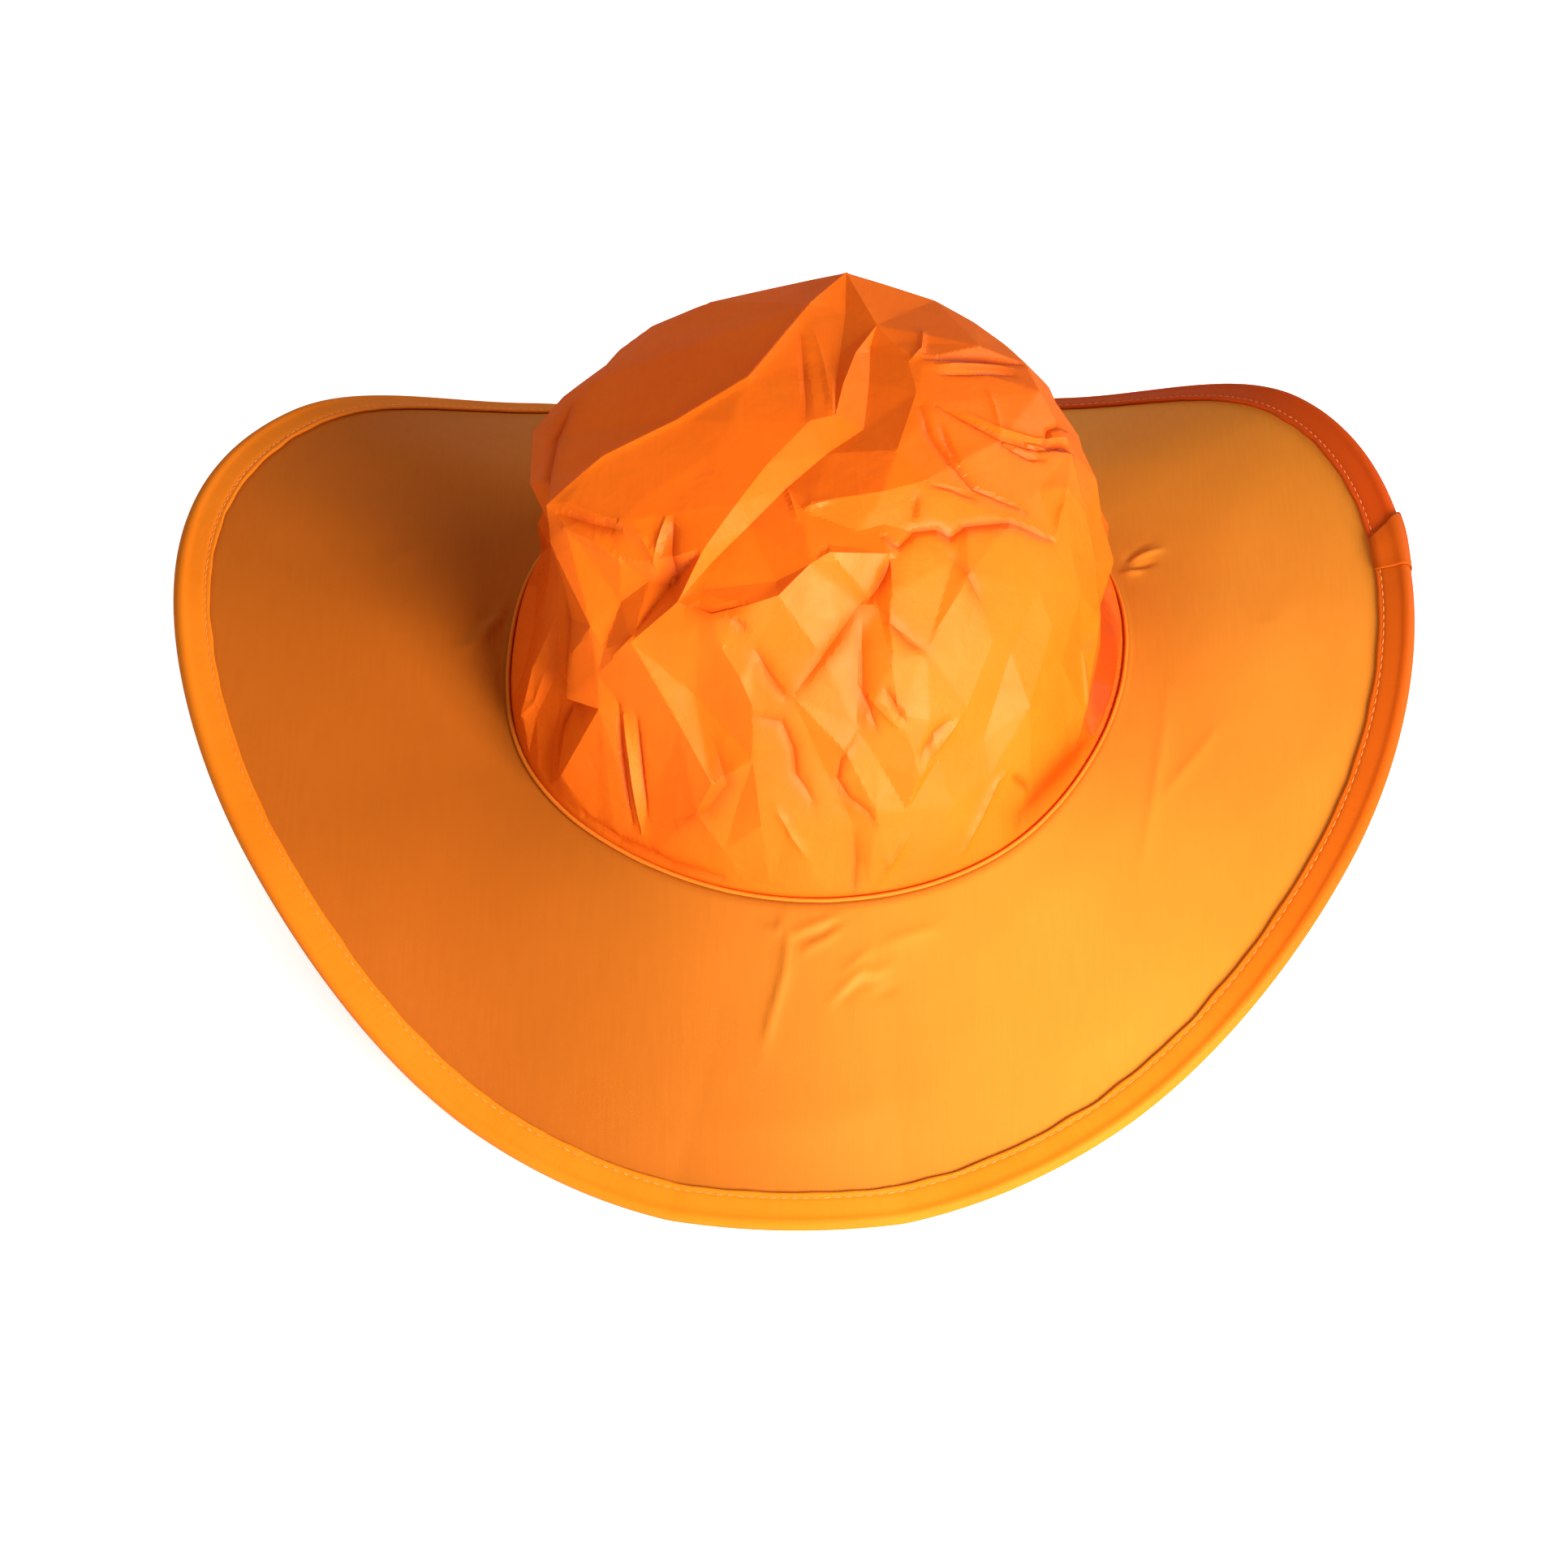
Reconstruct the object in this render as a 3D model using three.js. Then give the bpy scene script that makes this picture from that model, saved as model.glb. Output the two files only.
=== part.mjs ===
import * as THREE from 'three';

// Foldable sun hat, in millimetres. Z is up from the surface that the hat rests on, the front is
// towards -Y, and X is to the right seen from the front. A turn is in degrees round the hat, from
// the front towards X. A climb is the share of the way from the crown's foot (0) to its middle (1).

// Cloth and gaps
const CROWN_WALL = 1.5;
const BRIM_SHEET = 1.2;
const TAPE = 1.0;
const GAP = 0.3;

// Edge binding, a tape folded round the brim's edge with the bead of the spring at the rim
const BINDING_WIDTH = 10.5;
const BEAD_RADIUS = 2.3;
const BEAD_PRESSED = 0.4;
const BEAD_ANGLES = [-125, -90, -55, -20, 20, 55, 90, 125];

// Lapped end of the tape
const LAP = { from: 93.4, to: 97.2, steps: 4, skew: 1.6 };

// Welt at the crown's foot
const WELT_RADIUS = 1.0;
const WELT_SIDES = 6;
const FOOT_BAND = 2.6;

// Turning steps of every ring, and the small steps that directions are measured over
const RING_STEPS = 90;
const TURN_PROBE = 0.5;
const CLIMB_PROBE = 0.003;

// Middle of the head opening
const HEAD_X = 7;
const HEAD_Y = 2.5;

// Rim of the brim and line of the seam, both bent like a saddle: reach from the middle, height
const RIM = [
  { turn: 0, edgeReach: 178.5, edgeHeight: -2, seamReach: 100, seamHeight: 50 },
  { turn: 30, edgeReach: 179, edgeHeight: 14, seamReach: 98, seamHeight: 52 },
  { turn: 60, edgeReach: 181.6, edgeHeight: 57, seamReach: 93, seamHeight: 60 },
  { turn: 90, edgeReach: 181.2, edgeHeight: 83, seamReach: 90, seamHeight: 66 },
  { turn: 120, edgeReach: 181.6, edgeHeight: 77, seamReach: 90, seamHeight: 62 },
  { turn: 150, edgeReach: 180, edgeHeight: 25, seamReach: 94, seamHeight: 55 },
  { turn: 180, edgeReach: 178.5, edgeHeight: -3, seamReach: 97, seamHeight: 52 },
  { turn: 210, edgeReach: 179, edgeHeight: 23, seamReach: 94, seamHeight: 55 },
  { turn: 240, edgeReach: 182, edgeHeight: 71, seamReach: 90, seamHeight: 61 },
  { turn: 270, edgeReach: 182, edgeHeight: 87, seamReach: 90, seamHeight: 64 },
  { turn: 300, edgeReach: 180, edgeHeight: 59, seamReach: 98, seamHeight: 55 },
  { turn: 330, edgeReach: 178.5, edgeHeight: 13, seamReach: 100, seamHeight: 52 },
];

// Sections of the crown: rise over the seam, width and depth as shares of the seam's, side shift
const CROWN_TOP = 98;
const SEAM_MEAN = 57;
const CROWN = [
  { climb: 0, rise: 0, width: 1, front: 1, back: 1, shift: 0 },
  { climb: 0.15, rise: 24, width: 0.965, front: 0.95, back: 0.97, shift: 0.5 },
  { climb: 0.3, rise: 48, width: 0.915, front: 0.86, back: 0.9, shift: 0.5 },
  { climb: 0.43, rise: 68, width: 0.87, front: 0.74, back: 0.81, shift: -1 },
  { climb: 0.54, rise: 82, width: 0.79, front: 0.58, back: 0.68, shift: -2.5 },
  { climb: 0.7, rise: 91, width: 0.57, front: 0.39, back: 0.47, shift: -3 },
  { climb: 0.85, rise: 96, width: 0.29, front: 0.19, back: 0.23, shift: -1 },
  { climb: 1, rise: CROWN_TOP, width: 0, front: 0, back: 0, shift: 0 },
];

// Folds of the crumpled crown. Each path runs through [turn, climb, lift off the smooth crown].
const FOLDS = {
  middle: [[0, 0.999, 3.5], [180, 0.995, 3.5]],
  longRidge: [[171, 0.66, 11], [184, 0.8, 8], [222, 0.87, 6.5], [275, 0.83, 6], [293, 0.73, 6]],
  longRidgeFoot: [[293, 0.73, 6], [297, 0.62, 6], [295, 0.5, 6]],
  backRightEdge: [[171, 0.66, 11], [158, 0.61, 8], [140, 0.58, 6.5], [122, 0.55, 5], [96, 0.46, 1]],
  backLeftEdge: [[171, 0.66, 11], [188, 0.63, 7], [205, 0.61, 4], [228, 0.59, 3], [243, 0.56, 6]],
  leftLobe: [[243, 0.56, 6], [256, 0.51, 8.5], [268, 0.475, 7], [281, 0.45, 3.5]],
  lobeValley: [[250, 0.6, 1.5], [262, 0.565, 1], [275, 0.54, 1], [289, 0.515, 2]],
  wedgeValley: [[171, 0.66, 11], [166, 0.89, 0], [15, 0.925, 4]],
  spike: [[171, 0.66, 11], [152, 0.76, 7], [144, 0.915, 5.5], [25, 0.935, 5], [352, 0.895, 5]],
  stripRidge: [[352, 0.895, 5], [343, 0.81, 5.5], [338.5, 0.61, 5.5], [333.5, 0.465, 5]],
  spikeValley: [[152, 0.76, 7], [145, 0.865, 2.5], [103, 0.92, 1.5], [33, 0.86, 1], [5, 0.8, 1]],
  stripValley: [[5, 0.8, 1], [353, 0.735, 1], [345, 0.65, 1], [337, 0.52, 2.5], [333.5, 0.465, 5]],
  rightRidge: [[152, 0.76, 7], [130, 0.825, 6], [99, 0.835, 6.5], [60, 0.81, 6.5], [33, 0.695, 4.5]],
  shelfEdge: [[0, 0.67, 3], [18, 0.685, 4], [33, 0.695, 4.5], [47, 0.615, 3], [56, 0.53, 3]],
  shelfValley: [[0, 0.63, 1], [17, 0.6, 1.5], [30, 0.565, 0.5], [49, 0.53, 0], [58, 0.45, 1]],
  shoulder: [[333.5, 0.465, 5], [350, 0.485, 5], [2, 0.555, 4.5], [10, 0.59, 3.5], [17, 0.6, 1.5]],
  cornerRidge: [[295, 0.5, 6], [308, 0.43, 5], [316, 0.385, 4], [313.5, 0.225, 3.5]],
  cornerFold: [[295, 0.5, 6], [309, 0.49, 4.5], [325, 0.5, 1]],
  hollow: [[316, 0.385, 4], [326, 0.435, 1], [330, 0.5, -4], [324, 0.6, 3.5]],
  lowLeftRidge: [[333.5, 0.465, 5], [325.5, 0.385, 4.5], [322.5, 0.26, 3], [312.5, 0.085, 2]],
  lowHollow: [[313, 0.17, -1.5], [309, 0.09, -1]],
  pleat: [[324.5, 0.25, 2], [326, 0.19, 2.5], [330, 0.06, 2]],
  leftNotch: [[248, 0.4, -2], [266, 0.375, -5], [282, 0.34, -6], [294, 0.325, -4]],
  notchFoot: [[252, 0.27, -1], [268, 0.255, -3], [282, 0.235, -4], [294, 0.21, -2]],
  tuck: [[130, 0.775, 5.5], [123, 0.57, 5.5]],
  longCrease: [[83, 0.795, 4], [74, 0.665, 0], [76.5, 0.515, -3], [88, 0.46, -3]],
  rightUndercut: [[104, 0.09, -5], [76, 0.11, -6], [62, 0.06, -4]],
  rightBulge: [[66, 0.24, 2.5], [54, 0.13, 2]],
  pinch: [[4, 0.43, 1], [11, 0.49, -0.5], [21, 0.41, 1]],
  brow: [[6, 0.525, 3.5], [16, 0.54, 3.5], [34, 0.5, 2.5]],
  streak: [[34, 0.36, 1.5], [25, 0.2, 2], [16.5, 0.09, 1]],
  leftPatch: [[337, 0.27, -1.5], [340, 0.17, -1.5]],
};

// Rows that fill the smooth cloth between the folds: spacing round the crown, lift, clear distance
const FILL = [
  { climb: 0.065, spacing: 8, lift: 0, clear: 9 },
  { climb: 0.15, spacing: 10, lift: 0, clear: 9 },
  { climb: 0.24, spacing: 11, lift: 0, clear: 9 },
  { climb: 0.33, spacing: 12, lift: 0, clear: 9 },
  { climb: 0.42, spacing: 13, lift: 0, clear: 9 },
  { climb: 0.5, spacing: 14, lift: 0.5, clear: 13 },
  { climb: 0.57, spacing: 16, lift: 1, clear: 13 },
  { climb: 0.65, spacing: 20, lift: 1.5, clear: 13 },
  { climb: 0.74, spacing: 30, lift: 2, clear: 13 },
  { climb: 0.84, spacing: 45, lift: 3, clear: 13 },
];

// Spread-out crown: its reach when laid flat, the pace along a fold and the closest two corners
const FLAT_REACH = 165;
const FOLD_PACE = 8;
const CLOSEST = 2.5;
const TOUCHING = 1e-7;
const FOOT_CLIMB = 0.02;

const COLOURS = {
  crown: '#f0922f',
  brim: '#e98526',
  edge_binding: '#e07a22',
  binding_lap: '#d86f1e',
  crown_seam: '#f3a048',
};

const radians = THREE.MathUtils.degToRad;

// Value of a table's column at a place, along a smooth curve through its rows
function along(rows, key, column, at) {
  let i = 0;
  while (i < rows.length - 2 && rows[i + 1][key] <= at) i += 1;
  const a = rows[i];
  const b = rows[i + 1];
  const before = rows[Math.max(i - 1, 0)];
  const after = rows[Math.min(i + 2, rows.length - 1)];
  const h = b[key] - a[key];
  const s = (at - a[key]) / h;
  const startSlope = (b[column] - before[column]) / (b[key] - before[key]) * h;
  const endSlope = (after[column] - a[column]) / (after[key] - a[key]) * h;
  const s2 = s * s;
  const s3 = s2 * s;
  return (2 * s3 - 3 * s2 + 1) * a[column] + (s3 - 2 * s2 + s) * startSlope
    + (3 * s2 - 2 * s3) * b[column] + (s3 - s2) * endSlope;
}

// The rim's rows once more before and after themselves, so that the curve closes
const shifted = (shift) => RIM.map((row) => ({ ...row, turn: row.turn + shift }));
const CLOSED_RIM = [-360, 0, 360].flatMap(shifted);

function round(column, turn) {
  return along(CLOSED_RIM, 'turn', column, THREE.MathUtils.euclideanModulo(turn, 360));
}

function seamPoint(turn) {
  const reach = round('seamReach', turn);
  return new THREE.Vector3(
    HEAD_X + reach * Math.sin(radians(turn)),
    HEAD_Y - reach * Math.cos(radians(turn)),
    round('seamHeight', turn),
  );
}

// Level direction away from the head opening at the seam
function seamOut(turn) {
  const run = seamPoint(turn + TURN_PROBE).sub(seamPoint(turn - TURN_PROBE));
  return new THREE.Vector3(run.y, -run.x, 0).normalize();
}

// Middle of the bead at the brim's edge, pressed a little into the surface where it rests
function beadPoint(turn) {
  const reach = round('edgeReach', turn) - BEAD_RADIUS;
  const height = Math.max(0, round('edgeHeight', turn)) + BEAD_RADIUS - BEAD_PRESSED;
  return new THREE.Vector3(reach * Math.sin(radians(turn)), -reach * Math.cos(radians(turn)), height);
}

// Middle of the brim's sheet where it leaves the flat band under the crown's foot
function brimStart(turn) {
  const level = -GAP - BRIM_SHEET / 2;
  return seamPoint(turn).addScaledVector(seamOut(turn), FOOT_BAND).add(new THREE.Vector3(0, 0, level));
}

// Directions at the brim's edge: outwards along the sheet, and up from the sheet
function edgeFrame(turn) {
  const run = beadPoint(turn + TURN_PROBE).sub(beadPoint(turn - TURN_PROBE)).normalize();
  const out = beadPoint(turn).sub(brimStart(turn));
  out.addScaledVector(run, -out.dot(run)).normalize();
  return { out, up: new THREE.Vector3().crossVectors(out, run) };
}

// Smooth crown before it is crumpled
function crownPoint(turn, climb) {
  const seam = seamPoint(turn);
  const rise = along(CROWN, 'climb', 'rise', climb);
  const width = along(CROWN, 'climb', 'width', climb);
  const depth = along(CROWN, 'climb', Math.cos(radians(turn)) > 0 ? 'front' : 'back', climb);
  const shift = along(CROWN, 'climb', 'shift', climb);
  return new THREE.Vector3(
    HEAD_X + shift + (seam.x - HEAD_X) * width,
    HEAD_Y + (seam.y - HEAD_Y) * depth,
    SEAM_MEAN + (seam.z - SEAM_MEAN) * (1 - rise / CROWN_TOP) + rise,
  );
}

// Outward direction of the smooth crown
function crownOut(turn, climb) {
  const c = THREE.MathUtils.clamp(climb, CLIMB_PROBE, 1 - 5 * CLIMB_PROBE);
  const across = crownPoint(turn + TURN_PROBE, c).sub(crownPoint(turn - TURN_PROBE, c));
  const upward = crownPoint(turn, c + CLIMB_PROBE).sub(crownPoint(turn, c - CLIMB_PROBE));
  return across.cross(upward).normalize();
}

// Place on the crown laid out flat, and back
function layFlat(turn, climb) {
  const r = FLAT_REACH * (1 - climb);
  return new THREE.Vector2(r * Math.sin(radians(turn)), -r * Math.cos(radians(turn)));
}

function placeOf(point) {
  return {
    turn: THREE.MathUtils.radToDeg(Math.atan2(point.x, -point.y)),
    climb: Math.max(0, 1 - point.length() / FLAT_REACH),
  };
}

// Corners of the crumpled cloth: the foot's two rings first, then the folds, then the fill
function crownCorners() {
  const corners = [];
  const isClear = (point, distance) => corners.every((c) => c.point.distanceTo(point) > distance);
  for (const climb of [0, FOOT_CLIMB]) {
    for (let i = 0; i < RING_STEPS; i += 1) {
      corners.push({ point: layFlat(i * 360 / RING_STEPS, climb), lift: 0 });
    }
  }
  for (const fold of Object.values(FOLDS)) {
    for (let i = 0; i < fold.length - 1; i += 1) {
      const [turnA, climbA, liftA] = fold[i];
      const [turnB, climbB, liftB] = fold[i + 1];
      const a = layFlat(turnA, climbA);
      const b = layFlat(turnB, climbB);
      const count = Math.ceil(a.distanceTo(b) / FOLD_PACE);
      for (let k = 0; k <= count; k += 1) {
        const point = a.clone().lerp(b, k / count);
        const lift = THREE.MathUtils.lerp(liftA, liftB, k / count);
        if (isClear(point, CLOSEST)) corners.push({ point, lift });
      }
    }
  }
  FILL.forEach((row, index) => {
    const offset = index % 2 ? 0.5 : 0;
    for (let i = 0; (i + offset) * row.spacing < 360; i += 1) {
      const point = layFlat((i + offset) * row.spacing, row.climb);
      if (isClear(point, row.clear)) corners.push({ point, lift: row.lift });
    }
  });
  return corners;
}

function circleThrough(a, b, c) {
  const d = 2 * (a.x * (b.y - c.y) + b.x * (c.y - a.y) + c.x * (a.y - b.y));
  const centre = new THREE.Vector2(
    (a.lengthSq() * (b.y - c.y) + b.lengthSq() * (c.y - a.y) + c.lengthSq() * (a.y - b.y)) / d,
    (a.lengthSq() * (c.x - b.x) + b.lengthSq() * (a.x - c.x) + c.lengthSq() * (b.x - a.x)) / d,
  );
  return { centre, radius: centre.distanceTo(a) };
}

// Triangles between the corners of the flat cloth. They start as a fan inside the outer ring, and
// each corner put in clears the triangles whose circle holds it.
function joinCorners(points, ringCount) {
  const facet = (a, b, c) => ({ ids: [a, b, c], ...circleThrough(points[a], points[b], points[c]) });
  const first = points.reduce((best, p, i) => (p.length() < points[best].length() ? i : best), ringCount);
  let facets = [];
  for (let i = 0; i < ringCount; i += 1) facets.push(facet(first, i, (i + 1) % ringCount));
  for (let n = ringCount; n < points.length; n += 1) {
    if (n === first) continue;
    const holds = (f) => f.centre.distanceTo(points[n]) < f.radius - TOUCHING;
    const cleared = facets.filter(holds);
    const edges = cleared.flatMap(({ ids: [a, b, c] }) => [[a, b], [b, c], [c, a]]);
    const seen = new Set(edges.map(([a, b]) => `${a} ${b}`));
    facets = facets.filter((f) => !holds(f));
    for (const [a, b] of edges) {
      if (!seen.has(`${b} ${a}`)) facets.push(facet(a, b, n));
    }
  }
  return facets.map((f) => f.ids);
}

// Mesh of one closed solid from its points and its triangles
function solid(name, points, triangles) {
  const geometry = new THREE.BufferGeometry();
  const numbers = points.flatMap((point) => point.toArray());
  geometry.setAttribute('position', new THREE.Float32BufferAttribute(numbers, 3));
  geometry.setIndex(triangles.flat());
  geometry.computeVertexNormals();
  const material = new THREE.MeshStandardMaterial({ color: COLOURS[name], roughness: 0.6 });
  material.name = name;
  const mesh = new THREE.Mesh(geometry, material);
  mesh.name = name;
  return mesh;
}

const quad = (a, b, c, d) => [[a, b, c], [a, c, d]];

// Crumpled shell of even wall, open below
function makeCrown() {
  const corners = crownCorners();
  const facets = joinCorners(corners.map((c) => c.point), RING_STEPS);
  const outer = [];
  const inner = [];
  for (const corner of corners) {
    const { turn, climb } = placeOf(corner.point);
    const out = crownOut(turn, climb);
    outer.push(crownPoint(turn, climb).addScaledVector(out, corner.lift));
    inner.push(crownPoint(turn, climb).addScaledVector(out, corner.lift - CROWN_WALL));
  }
  const n = corners.length;
  const triangles = [...facets, ...facets.map(([a, b, c]) => [a + n, c + n, b + n])];
  for (let i = 0; i < RING_STEPS; i += 1) {
    const next = (i + 1) % RING_STEPS;
    triangles.push(...quad(next, i, i + n, next + n));
  }
  return solid('crown', [...outer, ...inner], triangles);
}

// Closed ring whose section at each turn is a loop of points, bottom outwards and top inwards
function makeRing(name, sectionAt) {
  const sections = [];
  for (let i = 0; i < RING_STEPS; i += 1) sections.push(sectionAt(i * 360 / RING_STEPS));
  const size = sections[0].length;
  const triangles = [];
  for (let i = 0; i < RING_STEPS; i += 1) {
    const here = i * size;
    const next = ((i + 1) % RING_STEPS) * size;
    for (let j = 0; j < size; j += 1) {
      const k = (j + 1) % size;
      triangles.push(...quad(here + j, next + j, next + k, here + k));
    }
  }
  return solid(name, sections.flat(), triangles);
}

// Middle of the brim's sheet: the flat band under the crown's foot, then the slope to the edge
const BRIM_SHARES = [0, 0.12, 0.3, 0.5, 0.7, 0.86, 1];

function brimRows(turn) {
  const start = brimStart(turn);
  const slotEnd = BEAD_RADIUS + GAP * 2;
  const end = beadPoint(turn).addScaledVector(edgeFrame(turn).out, -slotEnd);
  const inside = start.clone().addScaledVector(seamOut(turn), -FOOT_BAND - CROWN_WALL);
  return [inside, ...BRIM_SHARES.map((share) => start.clone().lerp(end, share))];
}

function makeBrim() {
  const sectionAt = (turn) => {
    const rows = brimRows(turn);
    const before = brimRows(turn - TURN_PROBE);
    const after = brimRows(turn + TURN_PROBE);
    const lower = [];
    const upper = [];
    rows.forEach((row, j) => {
      const run = after[j].clone().sub(before[j]);
      const slope = rows[Math.min(j + 1, rows.length - 1)].clone().sub(rows[Math.max(j - 1, 0)]);
      const up = slope.cross(run).normalize();
      lower.push(row.clone().addScaledVector(up, -BRIM_SHEET / 2));
      upper.unshift(row.clone().addScaledVector(up, BRIM_SHEET / 2));
    });
    return [...lower, ...upper];
  };
  return makeRing('brim', sectionAt);
}

// Outline of the folded tape about the bead's middle: along the sheet, and up from it
function tapeOutline(extra) {
  const flatEnd = BEAD_RADIUS - BINDING_WIDTH;
  const half = BRIM_SHEET / 2 + GAP + TAPE + extra;
  const radius = BEAD_RADIUS + extra;
  const bead = BEAD_ANGLES.map((a) => [radius * Math.cos(radians(a)), radius * Math.sin(radians(a))]);
  return [[flatEnd, -half], ...bead, [flatEnd, half]];
}

// Point in the section of the tape, laid flat on the surface where it would go below it
function tapePoint(turn, [along, above]) {
  const { out, up } = edgeFrame(turn);
  const point = beadPoint(turn).addScaledVector(out, along).addScaledVector(up, above);
  point.z = Math.max(0, point.z);
  return point;
}

function makeBinding() {
  const flatEnd = BEAD_RADIUS - BINDING_WIDTH;
  const slotHalf = BRIM_SHEET / 2 + GAP;
  const slotEnd = -BEAD_RADIUS - GAP;
  const slot = [[flatEnd, slotHalf], [slotEnd, slotHalf], [slotEnd, -slotHalf], [flatEnd, -slotHalf]];
  const loop = [...tapeOutline(0), ...slot];
  return makeRing('edge_binding', (turn) => loop.map((place) => tapePoint(turn, place)));
}

// Folded end of the tape, wrapped over the binding, with its upper end cut at a slant
function makeLap() {
  const near = tapeOutline(GAP);
  const far = tapeOutline(GAP + TAPE);
  const size = near.length;
  const points = [];
  for (let i = 0; i <= LAP.steps; i += 1) {
    const turn = THREE.MathUtils.lerp(LAP.from, LAP.to, i / LAP.steps);
    const slant = (place) => turn + LAP.skew * (i / LAP.steps) * (BEAD_RADIUS - place[0]) / BINDING_WIDTH;
    far.forEach((place) => points.push(tapePoint(slant(place), place)));
    near.forEach((place) => points.push(tapePoint(slant(place), place)));
  }
  const triangles = [];
  for (let i = 0; i < LAP.steps; i += 1) {
    const a = i * 2 * size;
    const b = a + 2 * size;
    for (let j = 0; j < size - 1; j += 1) {
      triangles.push(...quad(a + j, b + j, b + j + 1, a + j + 1));
      triangles.push(...quad(a + size + j, a + size + j + 1, b + size + j + 1, b + size + j));
    }
    triangles.push(...quad(a, a + size, b + size, b));
    triangles.push(...quad(a + size - 1, b + size - 1, b + 2 * size - 1, a + 2 * size - 1));
  }
  const last = LAP.steps * 2 * size;
  for (let j = 0; j < size - 1; j += 1) {
    triangles.push(...quad(j, j + 1, size + j + 1, size + j));
    triangles.push(...quad(last + j, last + size + j, last + size + j + 1, last + j + 1));
  }
  return solid('binding_lap', points, triangles);
}

// Welt that lies on the brim's flat band against the crown's foot
function makeWelt() {
  const sectionAt = (turn) => {
    const out = seamOut(turn);
    const middle = seamPoint(turn).addScaledVector(out, GAP + WELT_RADIUS);
    middle.z += WELT_RADIUS;
    return Array.from({ length: WELT_SIDES }, (_, k) => {
      const angle = 2 * Math.PI * k / WELT_SIDES;
      const point = middle.clone().addScaledVector(out, WELT_RADIUS * Math.cos(angle));
      point.z += WELT_RADIUS * Math.sin(angle);
      return point;
    });
  };
  return makeRing('crown_seam', sectionAt);
}

const group = new THREE.Group();
group.name = 'foldable_hat';
group.add(makeCrown(), makeBrim(), makeBinding(), makeLap(), makeWelt());

export default group;
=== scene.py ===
import math
import bpy
import numpy as np
from mathutils import Euler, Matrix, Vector, noise
from mathutils.geometry import delaunay_2d_cdt


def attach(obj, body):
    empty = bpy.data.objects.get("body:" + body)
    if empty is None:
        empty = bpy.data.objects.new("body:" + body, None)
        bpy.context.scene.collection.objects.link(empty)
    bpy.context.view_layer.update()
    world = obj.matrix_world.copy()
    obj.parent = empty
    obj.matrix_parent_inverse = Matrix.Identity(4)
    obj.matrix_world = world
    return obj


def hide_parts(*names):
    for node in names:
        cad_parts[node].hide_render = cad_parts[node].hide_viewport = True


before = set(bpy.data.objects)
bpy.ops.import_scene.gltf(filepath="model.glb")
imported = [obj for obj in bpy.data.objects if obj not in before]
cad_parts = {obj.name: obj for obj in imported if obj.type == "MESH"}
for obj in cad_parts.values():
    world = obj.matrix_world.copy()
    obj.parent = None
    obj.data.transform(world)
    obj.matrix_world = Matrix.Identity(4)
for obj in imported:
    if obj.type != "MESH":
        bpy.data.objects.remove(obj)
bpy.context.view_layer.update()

# Foldable sun hat of orange taffeta. Tables are in millimetres, and meshes in metres. A turn is in degrees
# round the hat, from the front towards X. A climb goes from the crown's foot (0) to its middle (1).
mm = 0.001
tiny = 0.0001  # lengths and shares below this count as none


def table(columns, rows):
    return dict(zip(columns.split(), np.array(rows, float).T))


def along(rows, key, column, at):  # a smooth curve through one column of a table
    x, y = rows[key], rows[column]
    i = np.clip(np.searchsorted(x, at, side="right") - 1, 0, len(x) - 2)
    before, after = np.maximum(i - 1, 0), np.minimum(i + 2, len(x) - 1)
    step = x[i + 1] - x[i]
    s = (at - x[i]) / step
    leave = (y[i + 1] - y[before]) / (x[i + 1] - x[before]) * step
    arrive = (y[after] - y[i]) / (x[after] - x[i]) * step
    return ((2 * s**3 - 3 * s**2 + 1) * y[i] + (s**3 - 2 * s**2 + s) * leave
            + (3 * s**2 - 2 * s**3) * y[i + 1] + (s**3 - s**2) * arrive)


def unit(v):  # the same way, of length 1
    return v / np.maximum(np.linalg.norm(v, axis=-1, keepdims=True), 1e-12)


def easeBetween(low, high, at):  # 0 below low, 1 above high, eased between
    s = np.clip((at - low) / (high - low), 0, 1)
    return s * s * (3 - 2 * s)


def plateau(stops, at):  # rises to 1 between the first two stops and falls back between the last two
    return easeBetween(*stops[:2], at) * (1 - easeBetween(*stops[2:], at))


def fullTurn(steps):  # even steps once round
    return np.arange(steps) * 360 / steps


def wander(turn, pace, row):  # slow unevenness round the hat, from one row of the noise
    return np.array([noise.noise(Vector((t * pace, row, 0))) for t in turn])


# Shared shape: the rim and the seam are both bent like a saddle
hat = {
    "headX": 7, "headY": 2.5,  # middle of the head opening
    "gap": 0.3,  # between sewn pieces
    "footBand": 2.6,  # flat band of the brim that carries the crown's foot
    "brimSheet": 1.2,
    "beadRadius": 2.3,  # the spring wire with the tape round it
    "beadPressed": 0.4,
    "probe": 0.5,  # degrees to each side, where a slope along a turn is taken
}
rim = table("turn edgeReach edgeHeight seamReach seamHeight", [
    (0, 178.5, -2, 100, 50),
    (30, 179, 14, 98, 52),
    (60, 181.6, 57, 93, 60),
    (90, 181.2, 83, 90, 66),
    (120, 181.6, 77, 90, 62),
    (150, 180, 25, 94, 55),
    (180, 178.5, -3, 97, 52),
    (210, 179, 23, 94, 55),
    (240, 182, 71, 90, 61),
    (270, 182, 87, 90, 64),
    (300, 180, 59, 98, 55),
    (330, 178.5, 13, 100, 52),
])
closedRim = {name: np.concatenate([v, v, v]) for name, v in rim.items()}
closedRim["turn"] = np.concatenate([rim["turn"] - 360, rim["turn"], rim["turn"] + 360])


def around(column, turn):
    return along(closedRim, "turn", column, np.mod(turn, 360))


def polar(reach, turn, height):
    a = np.radians(turn)
    return np.stack([reach * np.sin(a), -reach * np.cos(a), height + 0 * a], -1)


def seamPoint(turn):
    middle = (hat["headX"], hat["headY"], 0)
    return polar(around("seamReach", turn), turn, around("seamHeight", turn)) + middle


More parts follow.
